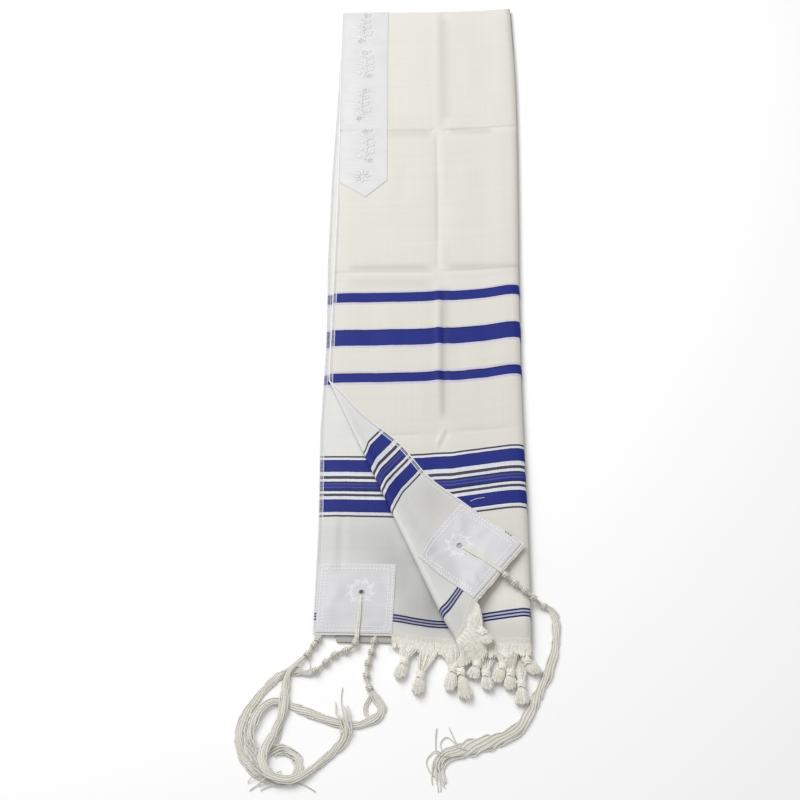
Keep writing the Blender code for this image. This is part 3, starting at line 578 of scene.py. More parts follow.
woolLook = {
    "cream": (0.652, 0.634, 0.592, 1),
    "warm": (0.652, 0.628, 0.568, 1),
    "reverse": (0.662, 0.662, 0.650, 1),
    "reverseWarm": (0.672, 0.662, 0.630, 1),
    "yarn": 0.55 * mm,
    "waver": 0.7 * mm,  # how far a stripe's edge strays
}
stripeColours = {
    "royal": (0.010, 0.019, 0.185, 1),
    "royalLight": (0.045, 0.055, 0.235, 1),
    "navy": (0.014, 0.016, 0.060, 1),
    "dark": (0.050, 0.046, 0.066, 1),
    "deep": (0.007, 0.009, 0.050, 1),
    "lavender": (0.40, 0.40, 0.56, 1),
    "lilac": (0.535, 0.512, 0.615, 1),
    "white": (0.620, 0.630, 0.680, 1),
}
stripeSets = {  # where each starts, in millimetres from the cross fold. None is bare wool.
    "three": [
        (449.2, "lilac"), (451.4, "deep"), (452.8, "royal"), (464.2, "deep"), (465.0, "lilac"), (468.4, None),
        (501.2, "lilac"), (504.0, "deep"), (505.4, "royal"), (525.4, "deep"), (526.2, "lilac"), (529.6, None),
        (561.0, "lilac"), (564.0, "deep"), (565.4, "royal"), (575.8, "deep"), (576.6, "lilac"), (579.8, None),
    ],
    "wide": [
        (672, "dark"), (674.5, "white"), (677.3, "deep"), (678.3, "royal"), (692.4, "deep"), (693.4, "white"),
        (698.7, "dark"), (702.8, "white"), (706.4, "navy"), (708.6, "royalLight"), (710.6, "royal"),
        (712.6, "royalLight"), (714.9, "royal"), (716.8, "navy"), (719.2, "white"), (722.4, "dark"),
        (725.7, "white"), (729.7, "deep"), (730.7, "royal"), (745.2, "deep"), (746, "white"), (749.9, "dark"),
        (752.4, None),
    ],
    "hem": [
        (865.9, "white"), (867.2, "navy"), (869.0, "lavender"), (870.6, "navy"), (872.3, "lavender"),
        (873.9, "navy"), (875.7, "white"), (877.0, None),
    ],
}


def newMaterial(name):
    material = bpy.data.materials.new(name)
    material.use_nodes = True
    tree = material.node_tree
    return material, tree, tree.nodes["Principled BSDF"]


def feed(tree, value, socket):
    if isinstance(value, bpy.types.NodeSocket):
        tree.links.new(value, socket)
    else:
        socket.default_value = value


def paint(tree, shader, inputs):
    for name, value in inputs.items():
        feed(tree, value, shader.inputs[name])


def addNode(tree, kind, inputs, **settings):
    node = tree.nodes.new(kind)
    for key, value in settings.items():
        setattr(node, key, value)
    for key, value in inputs.items():
        feed(tree, value, node.inputs[key])
    return node


def maths(tree, operation, a, b=0.0, c=0.0):
    return addNode(tree, "ShaderNodeMath", {0: a, 1: b, 2: c}, operation=operation).outputs[0]


def mapRange(tree, value, fromMin, fromMax, toMin=0.0, toMax=1.0):
    inputs = {"Value": value, "From Min": fromMin, "From Max": fromMax, "To Min": toMin, "To Max": toMax}
    return addNode(tree, "ShaderNodeMapRange", inputs).outputs[0]


def mixColour(tree, amount, a, b):
    return addNode(tree, "ShaderNodeMix", {0: amount, 6: a, 7: b}, data_type="RGBA").outputs[2]


def noise(tree, vector, scale, detail=2.0):
    stretched = addNode(tree, "ShaderNodeMapping", {"Vector": vector, "Scale": scale}).outputs[0]
    noise = addNode(tree, "ShaderNodeTexNoise", {"Vector": stretched, "Scale": 1.0, "Detail": detail})
    return noise.outputs["Fac"]


def uvParts(tree, layer):  # a UV layer as a vector, and its two parts
    vector = addNode(tree, "ShaderNodeUVMap", {}, uv_map=layer).outputs[0]
    parts = addNode(tree, "ShaderNodeSeparateXYZ", {0: vector})
    return vector, parts.outputs[0], parts.outputs[1]


def attribute(tree, name):
    return addNode(tree, "ShaderNodeAttribute", {}, attribute_name=name).outputs["Fac"]


def objectSpot(tree):
    return addNode(tree, "ShaderNodeTexCoord", {}).outputs["Object"]


def shaded(tree, colour, amount):
    return addNode(tree, "ShaderNodeVectorMath", {0: colour, "Scale": amount}, operation="SCALE").outputs[0]


def bump(tree, shader, height, strength, distance):
    inputs = {"Height": height, "Strength": strength, "Distance": distance}
    feed(tree, addNode(tree, "ShaderNodeBump", inputs).outputs[0], shader.inputs["Normal"])


def weaveHeight(tree, across, along, yarn, rib=0.5):  # the warp shows on one square and the weft on the next
    warp = maths(tree, "SINE", maths(tree, "MULTIPLY", across, math.pi / yarn))
    weft = maths(tree, "SINE", maths(tree, "MULTIPLY", along, math.pi / yarn))
    return maths(tree, "MULTIPLY_ADD", maths(tree, "MULTIPLY", warp, weft), rib, 0.5)


def stripeRamp(tree, along, rows):  # the colours of one set of stripes, and alpha where there is one
    first, last = rows[0][0] - 1, rows[-1][0] + 1
    ramp = addNode(tree, "ShaderNodeValToRGB", {"Fac": mapRange(tree, along, first * mm, last * mm)})
    ramp.color_ramp.interpolation = "CONSTANT"
    ramp.color_ramp.elements[0].color = (0, 0, 0, 0)
    ramp.color_ramp.elements.remove(ramp.color_ramp.elements[1])
    for start, colour in rows:
        element = ramp.color_ramp.elements.new((start - first) / (last - first))
        element.color = stripeColours[colour] if colour else (0, 0, 0, 0)
    return ramp.outputs["Color"], ramp.outputs["Alpha"]


def woolMaterial(name, plain, warm):
    material, tree, shader = newMaterial(name)
    weave, across, along = uvParts(tree, "weave")
    waver = maths(tree, "SUBTRACT", noise(tree, weave, (110, 10, 1), 3.0), 0.5)
    along = maths(tree, "MULTIPLY_ADD", waver, woolLook["waver"], along)
    broad = noise(tree, objectSpot(tree), (7, 7, 7))
    colour = mixColour(tree, mapRange(tree, broad, 0.36, 0.68), plain, warm)
    warpStreaks = noise(tree, weave, (1100, 9, 1), 3.0)
    weftStreaks = noise(tree, weave, (9, 800, 1), 3.0)
    streaks = maths(tree, "MULTIPLY_ADD", warpStreaks, 0.7, maths(tree, "MULTIPLY", weftStreaks, 0.3))
    colour = shaded(tree, colour, mapRange(tree, streaks, 0.32, 0.68, 0.975, 1.02))
    slubs = noise(tree, weave, (3, 190, 1), 2.0)
    colour = shaded(tree, colour, mapRange(tree, slubs, 0.3, 0.7, 1.012, 0.984))
    # the stripes' streaks: partly the yarn's own unevenness, partly painted sheen
    glints = maths(tree, "MULTIPLY_ADD", warpStreaks, 0.35, maths(tree, "MULTIPLY", weftStreaks, 0.65))
    glints = mapRange(tree, glints, 0.34, 0.66, 0.8, 1.24)
    satin = 0.0
    for rows in stripeSets.values():
        tint, mask = stripeRamp(tree, along, rows)
        colour = mixColour(tree, mask, colour, shaded(tree, tint, glints))
        satin = maths(tree, "MAXIMUM", satin, mask)
    # the base colour takes the cloth's painted shade and painted light from its shade attribute
    paint(tree, shader, {"Base Color": shaded(tree, colour, attribute(tree, "shade")),
                         "Roughness": mapRange(tree, satin, 0, 1, 0.9, 0.6),
                         "Sheen Weight": 0.03, "Sheen Roughness": 0.5, "Specular IOR Level": 0.2})
    height = weaveHeight(tree, across, along, woolLook["yarn"])
    bump(tree, shader, maths(tree, "MULTIPLY_ADD", streaks, 1.0, height), 0.35, 0.12 * mm)
    return material


def satinMaterial(name, colour, yarn=0.35 * mm):
    material, tree, shader = newMaterial(name)
    weave, across, along = uvParts(tree, "weave")
    streaks = noise(tree, weave, (40, 900, 1), 3.0)
    clouds = noise(tree, weave, (45, 45, 1), 3.0)
    tint = shaded(tree, colour[:3], mapRange(tree, streaks, 0.3, 0.7, 0.95, 1.03))
    tint = shaded(tree, tint, mapRange(tree, clouds, 0.3, 0.7, 0.96, 1.02))
    rough = mapRange(tree, streaks, 0.3, 0.7, 0.36, 0.5)
    paint(tree, shader, {"Base Color": tint, "Roughness": rough, "Sheen Weight": 0.05})
    fine = weaveHeight(tree, across, along, yarn, 0.3)
    bump(tree, shader, maths(tree, "ADD", fine, streaks), 0.3, 0.08 * mm)
    return material


def threadMaterial(name, pale, dark, rough=0.8, ply=0.9 * mm):  # ply is how far apart the twist's ridges are
    material, tree, shader = newMaterial(name)
    thread, across, along = uvParts(tree, "thread")
    stain = noise(tree, objectSpot(tree), (45, 45, 45), 3.0)
    colour = mixColour(tree, mapRange(tree, stain, 0.35, 0.66), pale, dark)
    streaks = mapRange(tree, noise(tree, thread, (0, 420, 1), 2.0), 0.35, 0.65, 0.93, 1.03)
    tone = maths(tree, "MULTIPLY", attribute(tree, "tone"), streaks)
    paint(tree, shader, {"Base Color": shaded(tree, colour, tone), "Roughness": rough,
                         "Sheen Weight": 0.08, "Specular IOR Level": 0.25})
    twist = maths(tree, "MULTIPLY_ADD", across, tau, maths(tree, "MULTIPLY", along, tau / ply))
    bump(tree, shader, maths(tree, "SINE", twist), 0.4, 0.1 * mm)
    return material


shawl = {
    **inMm(
        step=4.4, fineStep=1.2,
        tuck=0.8,  # how far the inner layer reaches into the cross fold
        hemStep=2.4, hemFrom=800, creaseX=15, leftLeast=12, wrapWeft=1.2,
    ),
    "wrapRows": 8, "flapColumns": 34, "rollColumns": 14, "leftColumns": 54, "rightColumns": 34,
    "edgeColumns": 6, "foldColumns": 10,
    "fineRows": ((192, 204), (414, 426), (640, 660)),  # millimetres
    "innerStretches": ((108.3, 34, 5), (34, -112, 2.8)),  # the inner layer's columns: from x, to x, the step
}


def clothRows():
    rows, at = [], 0
    for start, stop in shawl["fineRows"]:
        rows += [(at * mm, start * mm, shawl["step"]), (start * mm, stop * mm, shawl["fineStep"])]
        at = stop
    rows += [(at * mm, shawl["hemFrom"], shawl["step"]), (shawl["hemFrom"], strip["hemS"], shawl["hemStep"])]
    return spaced(rows)


paintedShades = [  # painted shade, and painted light where below 0: layer, x and y, half-widths, lean, and how much darker
    ("inner", -35, -357, 26, 40, 0.05, 0.12),
    ("inner", 18, -392, 52, 46, 0, 0.30),
    ("inner", 12, -418, 30, 24, 0, 0.14),
    ("inner", -60, -330, 60, 34, 0, 0.14),
    ("flap", 20, -330, 60, 120, 0.5, 0.11),
    ("flap", 12, -277, 28, 30, 0, 0.13),
    ("flap", -80, -190, 40, 60, 0, 0.05),
    ("outer", 90, -437, 44, 9, 0.05, 0.08),
    ("outer", 88, -388, 26, 30, 0, -0.18),
]
creaseShades = [  # painted shade: how much darker the outer layer is beside its creases, painted light where below 0
    (20, 445, 23, 258, 0.11, 7, 0.08), (12, 190, 12.5, 50, 0.08, 3), (24, 150, 25, 60, -0.05, 6),
    (22.5, 10, 20.8, -185, 0.20, 5, 0.1), (-88, 237, 8, 241, 0.12, 7, 0.12),
    (24, 244, 82, 245.5, 0.14, 4.5, 0.12), (-96, 28.5, 8, 31, 0.16, 4, 0.12),
    (22, 32, 116, 35, 0.13, 5, 0.12), (-96, 6, 8, 8, 0.08, 7, 0.12),
]
# painted shade: darker towards the outer layer's right edge, round the lengthwise folds and along the hidden
# layers' hem
edgeShade = {"dark": 0.20, "foldDark": 0.30, "hemDark": 0.38, "hemY": -425 * mm, "hemOver": 8 * mm}


def shadeOf(layer, point):
    shade = 1
    if layer == "outer":
        shade -= wrinkled(point[0], point[1], creaseShades) / mm
    for where, middleX, middleY, wide, high, lean, dark in paintedShades:
        if where == layer:
            x, y = point[0] / mm - middleX, point[1] / mm - middleY
            x, y = x + lean * y, y - lean * x
            shade -= dark * math.exp(-((x / wide) ** 2) - (y / high) ** 2)
    return shade


def buildFront(wool, reverse):  # the outer and inner layers, the fold that joins them, the turned corner
    counts = [shawl[key + "Columns"] for key in ("flap", "roll", "left", "right", "edge")]
    outerCount, foldCount, wraps = sum(counts), shawl["foldColumns"], shawl["wrapRows"]
    rows = clothRows()
    folded = strip["foldRadius"]
    innerXs = spaced([[place * mm for place in stretch] for stretch in shawl["innerStretches"]])[1:-1]

    def outerX(column, s):
        ends, starts = rollLimits(s)
        middle = max(shawl["creaseX"], starts + shawl["leftLeast"])
        right = rightEdge(s) - folded
        stops = (outerLeft(s), ends, starts, middle, right - strip["edgeWidth"], right)
        for number, (start, stop, count) in enumerate(zip(stops, stops[1:], counts)):
            if column <= count:
                t = column / count
                if number == 2:
                    t = 1 - (1 - t) ** 1.5  # closer together towards the lengthwise crease
                if number == 3:
                    t = t**1.3
                return blend(start, stop, t)
            column -= count

    def place(column, row):
        wrap = max(0, wraps - row) / wraps
        s = rows[max(0, row - wraps)]
        x = outerX(min(column, outerCount), s)
        outer = outerWrap(x, math.pi * wrap) if wrap else outerPoint(x, s)
        if column <= outerCount:
            return outer
        column -= outerCount
        right = rightEdge(s) - folded
        tuck = Vector((0, wrap * shawl["tuck"], 0))
        if column <= foldCount:
            turned = math.pi * column / foldCount
            point = blend(outer, onInner(right, s) + tuck, (1 - math.cos(turned)) / 2)
            reach = strip["edgeReach"] * math.sin(turned) * math.cos(math.pi * wrap / 2)
            return point + Vector((reach, 0, 0))
        column -= foldCount + 1
        x = innerXs[column] if column < len(innerXs) else innerLeft(s)
        return onInner(x, s) + tuck

    def weaveAt(column, row):
        wrap = max(0, wraps - row)
        s = rows[max(0, row - wraps)]
        x = outerX(min(column, outerCount), s)
        v = weftAt(x, s) - wrap * shawl["wrapWeft"]
        if column <= outerCount:
            return x - strip["leftX"], v
        column -= outerCount
        right = rightEdge(s) - folded - strip["leftX"]
        if column <= foldCount:
            turned = column / foldCount
            return right + math.pi * folded * turned, blend(v, s, turned)
        column -= foldCount + 1
        x = innerXs[column] if column < len(innerXs) else innerLeft(s)
        return right + math.pi * folded + (right + strip["leftX"] - x), s

    # painted shade: each layer's painted shades, and darker round the lengthwise fold and towards the outer
    # layer's right edge
    def shadeAt(column, point):
        if column > outerCount + foldCount:
            return shadeOf("inner", point)
        if column > outerCount:
            return 1 - edgeShade["foldDark"]
        nearEdge = max(0, column - outerCount + counts[-1]) / counts[-1]
        shade = shadeOf("flap" if column <= shawl["flapColumns"] else "outer", point)
        return shade - edgeShade["dark"] * nearEdge**3

    columns = outerCount + foldCount + len(innerXs) + 1
    obj = makeSheet("shawlFront", columns, wraps + len(rows) - 1, place, weaveAt, [wool, reverse], shadeAt)
    return finishSheet(obj, strip["wall"], "front_half", 1)


backCloth = {
    **inMm(
        lowMid=0.45, highMid=2.15, rise=0.8, foldOut=1.6, leftX=-112, rightX=108.5, squareFrom=800,
        hemDrawn=12,  # its hem is drawn back beside the selvage
        drawnFrom=840, drawnOver=50, drawnToX=-90.5, drawnStep=2,
        cornerX=40,  # right of it the top corner is drawn in with the outer layers
        cornerOver=60, cornerTo=60, foldWeft=1.2,
    ),
    "foldColumns": 6,
    "stretches": ((-112, -92, 5.5), (-92, -87, 1), (-87, 2, 5.5), (2, 30, 3.5), (30, 108.5, 5.5)),
}


def backY(x, s):
    look = backCloth
    if s <= look["squareFrom"]:
        return layerY(x, s, "inner")
    beside = 1 - smooth((x - look["drawnToX"]) / look["drawnStep"])
    return strip["topY"] - s + look["hemDrawn"] * smooth((s - look["drawnFrom"]) / look["drawnOver"]) * beside


def onBack(x, s):  # the upper of the two hidden layers
    y = backY(x, s)
    return Vector((x, y, backCloth["highMid"] + relief(x, y) + backCloth["rise"] * rise(x)))


def onFloor(x, s):  # the lowest layer
    return Vector((x, backY(x, s), backCloth["lowMid"]))


def buildBack(wool, reverse):  # the two hidden layers, joined by their own lengthwise fold
    rows = [0.6 * mm] + clothRows()[1:]
    left, right = backCloth["leftX"], backCloth["rightX"]
    xs = spaced([[place * mm for place in stretch] for stretch in backCloth["stretches"]])
    count, folds = len(xs), backCloth["foldColumns"]

    def drawnIn(x, s):  # with the outer layers, at the top right corner
        share = smooth((x - backCloth["cornerX"]) / backCloth["cornerOver"])
        return x + min(0, rightEdge(s) - rightEdge(backCloth["cornerTo"])) * share

    def spot(column, s):
        if column < count:
            return onBack(drawnIn(xs[column], s), s), xs[column] - left
        if column < count + folds - 1:
            turned = math.pi * (column - count + 1) / folds
            edge = drawnIn(right, s)
            point = blend(onBack(edge, s), onFloor(edge, s), (1 - math.cos(turned)) / 2)
            point += Vector((backCloth["foldOut"] * math.sin(turned), 0, 0))
            return point, right - left + turned * backCloth["foldWeft"]
        x = xs[2 * count + folds - 2 - column]
        return onFloor(drawnIn(x, s), s), 2 * right - left + 4 * mm - x

    # painted shade: darker round the hidden layers' fold and along their hem
    def shadeAt(column, point):
        atFold = count <= column < count + folds - 1
        nearHem = smooth((edgeShade["hemY"] - point[1]) / edgeShade["hemOver"])
        return 1 - edgeShade["foldDark"] * atFold - edgeShade["hemDark"] * nearHem

    columns = 2 * count + folds - 2
    obj = makeSheet("shawlBack", columns, len(rows) - 1, lambda c, r: spot(c, rows[r])[0],
                    lambda c, r: (spot(c, rows[r])[1], rows[r]), [wool, reverse],
                    shadeAt)
    return finishSheet(obj, strip["wall"], "back_half", 1)


neckband = {
    **inMm(
        width=58, thick=0.45, inset=2, shoulderS=283, pointS=308, gap=0.15,
    ),
    "pointAcross": 0.55, "wrap": math.radians(120), "columns": 24, "rows": 200,
}
patches = {
    **inMm(
        side=80, thick=0.5, inset=1.5, gap=0.2,
        hemShows=1.6,  # beyond the turned corner's patch
        innerShows=1, eyeletRadius=2.4,
    ),
    "cells": 44, "lean": 0.036,
    "eyelets": {"inner": (45.3 * mm, 46.4 * mm), "outer": (40.5 * mm, 50.5 * mm)},  # from selvage and hem
    "puckers": {
        "inner": [
            (6, 16, 26, 58, 0.4, 6), (60, 72, 78, 40, -0.35, 5), (42, 6, 76, 16, 0.35, 5),
            (8, 74, 34, 66, -0.3, 5),
        ],
        "outer": [
            (8, 74, 36, 54, 0.55, 5), (50, 60, 80, 74, -0.55, 4), (18, 30, 58, 10, 0.5, 6),
            (60, 34, 80, 18, -0.5, 5), (2, 40, 26, 46, 0.45, 5), (56, 44, 80, 52, 0.45, 6),
            (70, 2, 52, 24, 0.4, 4),
        ],
    },
}


def bandPoint(u, s, height=0.0):  # u is from the band's edge beside the selvage
    x = outerLeft(max(0, s)) + neckband["inset"] + u
    return lifted(onOuter, x, s, strip["wall"] / 2 + neckband["gap"] + neckband["thick"] / 2 + height)


def bandEnd(u):
    across = u / neckband["width"]
    side = min(across / neckband["pointAcross"], (1 - across) / (1 - neckband["pointAcross"]))
    return blend(neckband["shoulderS"], neckband["pointS"], side)


def buildNeckband(satin):
    columns, rows = neckband["columns"], neckband["rows"]
    start = -neckband["wrap"] * (strip["outerMid"] - strip["cadWall"] / 2) / 2

    def spot(column, row):
        u = neckband["width"] * column / columns
        return u, blend(start, bandEnd(u), row / rows)

    obj = makeSheet("neckband", columns, rows, lambda c, r: bandPoint(*spot(c, r)), spot, [satin])
    return finishSheet(obj, neckband["thick"], "atara")


def patchPoint(which, across, up, height=0.0):  # from the patch's edges at the selvage and at the hem
    lift = strip["wall"] / 2 + patches["gap"] + patches["thick"] / 2 + height
    lift += wrinkled(across, up, patches["puckers"][which])
    across += patches["inset"]
    fromHem = patches["inset"] + up
    hemS = strip["hemS"]
    if which == "inner":
        across += patches["lean"] * up
        return lifted(onInner, innerLeft(hemS) + across, hemS - patches["innerShows"] - fromHem, lift)
    return lifted(outerPoint, outerLeft(hemS) + across, hemS - patches["hemShows"] - fromHem, lift, -1)


def buildPatch(which, satin):
    cells, side = patches["cells"], patches["side"]
    obj = makeSheet("cornerPatch" + which.title(), cells, cells,
                    lambda c, r: patchPoint(which, side * c / cells, side * (1 - r / cells)),
                    lambda c, r: (side * c / cells, side * r / cells), [satin])
    radius = patches["eyeletRadius"]
    centre = patchPoint(which, *patches["eyelets"][which])
    bm = bmesh.new()
    bm.from_mesh(obj.data)
    near = [face for face in bm.faces if (face.calc_center_median() - centre).length < radius]
    bmesh.ops.delete(bm, geom=near, context="FACES")
    for vertex in bm.verts:
        if vertex.is_boundary and (vertex.co - centre).length < 2 * radius:
            vertex.co = centre + (vertex.co - centre).normalized() * radius
    if which == "outer":
        bmesh.ops.reverse_faces(bm, faces=bm.faces)
    bm.to_mesh(obj.data)
    bm.free()
    return finishSheet(obj, patches["thick"], "patch_" + which)


def woundLine(path, radius, pitch, perTurn=10):  # a line wound round a path, and which way is out
    line = evenly(path, pitch / perTurn)
    _, aside, upwards = axesAlong(line)
    turns = travelled(line)[:, None] / pitch * tau
    out = aside * np.cos(turns) + upwards * np.sin(turns)
    return line + out * radius, out


def knotParts(centre, ahead, look, rng):  # loops of thread crossed over each other about a point
    ahead = unit(np.asarray(ahead, float))
    aside = unit(np.cross((0, 0, 1), ahead))
    upwards = np.cross(ahead, aside)
    parts = []
    for loop in range(look["loops"]):
        place = (loop + 0.5) / look["loops"] - 0.5
        lean = look["lean"] * (1 if loop % 2 else -1)
        radius = look["radius"] * math.sqrt(1 - (1.4 * place) ** 2) * (1.05 if loop % 2 else 0.93)
        turns = np.linspace(0, 1.1 * tau, 22)[:, None] + rng.uniform(0, tau)  # a little over once
        out = aside * np.cos(turns) + upwards * np.sin(turns) * look["flat"]
        leaning = lean * radius * np.cos(turns)
        path = np.asarray(centre) + out * radius + ahead * (place * look["length"] + leaning)
        path[:, 2] = np.maximum(path[:, 2], look["thread"])
        tone = rng.uniform(0.95, 1.06)
        parts.append(threadPart(path, look["thread"], tone, 6, unit(out), 0.12, 2.4 * mm))
    return parts


cornerFringe = {
    **inMm(
        thread=0.72, step=1.4, halfWidth=4.3, halfHeight=0.9,
        turnLength=200,  # the bundle turns over once in this length
        opensOver=16, ribbonEnd=22, ribbonTaper=34, ribbonShort=24, cutShort=22, floorMid=1.45,
        laidHeight=1.9, freePitch=0.9,
        freeDip=2.6,  # down into the eyelet
        freeDipOver=1.4, core=1.15, windRadius=1.5, windThread=0.48, windPitch=1.1,
    ),
    "ply": 0.1, "threads": 8,
    "widths": ((0, 1.9), (30, 1.3), (60, 1.0)),  # by millimetres from its end
    "ribbon": 0.8,  # its core, of the bundle's width
    "climb": 1.5,  # a crossing is this much higher than the route says
    "tones": (0.94, 1.06), "freeThreads": 4, "knots": 5,
    "knot": {**inMm(radius=3.2, length=5.2, thread=0.75), "loops": 5, "lean": 0.4, "flat": 1},
    "lastKnotAt": 0.93,
}
lying = 0.9  # a route's height where its bundle lies on the floor
cornerRoutes = [  # millimetres: how far in from the selvage and the hem the laid part lies, then its stops
    {
        "name": "Inner", "layer": "inner", "laid": ((48.3, 46), (47, 24), (45.5, 3)), "boundFrom": 0.44,
        "stem": ((-69, -453, 5.4), (-76, -459, 3.4), (-88, -464, 3.3), (-97, -472, 3.3), (-105, -480, 3.3),
            (-113, -485, 3.3)),
        "threads": ((-120, -485, 2.2), (-131, -483), (-146, -489), (-161, -505), (-173, -523), (-181, -541),
            (-183, -558), (-179, -574), (-168, -588), (-154, -598), (-139, -603), (-127, -599),
            (-121, -588), (-124, -576), (-134, -569), (-146, -569), (-155, -574), (-159, -583)),
        "strays": (((-146, -601, 1), (-130, -604, 1), (-119, -603, 1), (-111, -606, 1), (-103, -611, 1)),
            ((-150, -598, 2), (-160, -592, 3), (-168, -589, 2), (-175, -588, 1)),
            ((-148, -600, 2), (-158, -603, 2), (-164, -607, 1), (-169, -611, 1)),
            ((-140, -602, 2), (-150, -606, 1.5), (-156, -609, 1), (-158, -611, 1)),
            ((-144, -596, 6), (-153, -590, 6), (-160, -583, 5), (-166, -580, 3)),
            ((-150, -600, 6), (-160, -595, 6), (-166, -597, 4), (-171, -603, 1)),
            ((-138, -590, 1), (-147, -596, 6), (-156, -601, 5), (-160, -606, 1)),
            ((-128, -603, 2), (-140, -598, 6), (-152, -588, 6), (-157, -578, 5)),
            ((-170, -583, 5), (-162, -592, 7), (-150, -600, 6), (-136, -604, 2)),
        ),
    },
    {
        "name": "Left", "layer": None, "laid": (), "boundFrom": 0.1, "knots": 3,
        "widths": ((0, 1.9), (30, 1.3), (60, 1), (225, 1), (250, 0.5)),
        "stem": ((-104, -442, 2), (-107, -447, 3.3), (-110.5, -453, 3.3), (-114.5, -459.5, 3.4),
            (-118.5, -466, 3.7)),
        "threads": ((-123, -471, 3.9), (-129.5, -477.5, 3.3), (-136, -486, 2.8), (-139, -500, 2.8),
            (-139, -516, 2.8), (-141, -532, 2.8), (-148, -552, 3), (-155, -568, 4.3), (-158, -581, 4.9),
            (-152, -593, 4.9), (-139, -600, 3.8), (-122, -598, 2.8), (-106, -586, 1.6), (-91, -573),
            (-79, -559, 1.4), (-75, -545, 2.8), (-79, -529, 2.8), (-83, -512, 1.2)),
        "strays": (((-119, -466, 3), (-124, -468, 2), (-131, -474, 1.5), (-138, -482, 4), (-146, -491, 5)),
            ((-118, -466, 3), (-116, -471, 1.5), (-115, -476, 1.2), (-114.5, -481, 3.5), (-118, -485, 4)),
            ((-140, -538, 4), (-141, -552, 2), (-144, -563, 1), (-148, -570, 1)),
            ((-79, -530, 3), (-81, -518, 2), (-81.5, -510, 1), (-80.5, -500, 1)),
        ),
    },
    {
        "name": "Lower", "layer": None, "laid": (), "boundFrom": 0.1,
        "stem": ((-48, -437, 1.7), (-48.5, -444, 2.6), (-50, -452, 3.3), (-52, -463, 3.3), (-56, -478, 3.3),
            (-56, -492, 3.3), (-51, -505, 3.3)),
        "threads": ((-45, -513, 2), (-40, -521), (-43, -530), (-53, -537), (-66, -541), (-84, -539),
            (-102, -533), (-120, -526), (-138, -519), (-152, -518, 2.4), (-162, -526, 2.9),
            (-170, -540, 2.9), (-172, -555, 2.9), (-168, -570, 2.9), (-160, -584, 2.9)),
        "strays": (((-51, -504, 3), (-54, -511, 1.5), (-58, -519, 1), (-58, -528, 1),
                    (-53, -535, 2), (-60, -541, 2)),
            ((-50, -505, 3), (-53, -512, 1.2), (-56, -520, 1), (-55.5, -529, 1), (-49, -536, 2)),
            ((-50, -506, 2), (-51, -513, 1), (-54.5, -521, 1), (-53, -530, 1), (-46, -534, 2)),
        ),
    },
    {
        "name": "Outer", "layer": "outer", "laid": ((42, 50.5), (41, 26), (40, 2)), "boundFrom": 0.46,
        "widths": ((0, 1.7), (36, 1.5), (62, 2.1), (100, 1.8), (150, 1.25), (220, 1)),
        "stem": ((85, -376, 17.4), (91.5, -381, 15.2), (98, -386, 13.4), (106, -392, 12.6),
            (114, -398.5, 10.8), (121, -403, 5.8), (126, -406, 3.4), (131, -408, 3.3)),
        "threads": ((136, -412, 2), (139, -422), (139.5, -434), (138.5, -447), (135.5, -463), (130, -480),
            (123, -496), (116, -511), (108, -528), (99, -541), (86, -551), (71, -556), (55, -561),
            (38, -567), (25, -572), (18, -582), (18, -597), (22, -611)),
        "strays": (((30, -573, 3), (20, -572, 3), (15.3, -566, 1), (14.8, -553, 1), (15.8, -542, 1)),
            ((46, -566, 3), (38, -563, 3), (34.5, -556, 1), (31, -548, 1), (28, -541, 1)),
            ((22, -570, 3), (19.5, -560, 1), (22, -554, 1), (26.5, -552, 1), (33, -557, 1), (36, -564, 3)),
            ((24, -571, 3), (15, -567, 2), (8.5, -572, 1), (5.5, -579, 1), (9, -588, 1), (14, -594, 1)),
        ),
    },
]


def laidPoint(layer, across, fromHem):
    hemS, height = strip["hemS"], cornerFringe["laidHeight"]
    if layer == "inner":
        return lifted(onInner, innerLeft(hemS) + across * mm, hemS - fromHem * mm, height)
    return lifted(outerPoint, outerLeft(hemS) + across * mm, hemS - fromHem * mm, height, -1)


def threadStop(stop, first):
    x, y, z = (*stop, lying)[:3]
    if not first:
        z = cornerFringe["floorMid"] / mm + (z - lying) * cornerFringe["climb"]
    return Vector((x, y, z)) * mm


def drift(along, rng, size):  # a slow wander to one side and the other
    first, second = rng.uniform(0, tau, 2)
    wide, narrow = rng.uniform(60, 110) * mm, rng.uniform(22, 40) * mm
    return size * (0.7 * np.sin(along / wide * tau + first) + 0.3 * np.sin(along / narrow * tau + second))


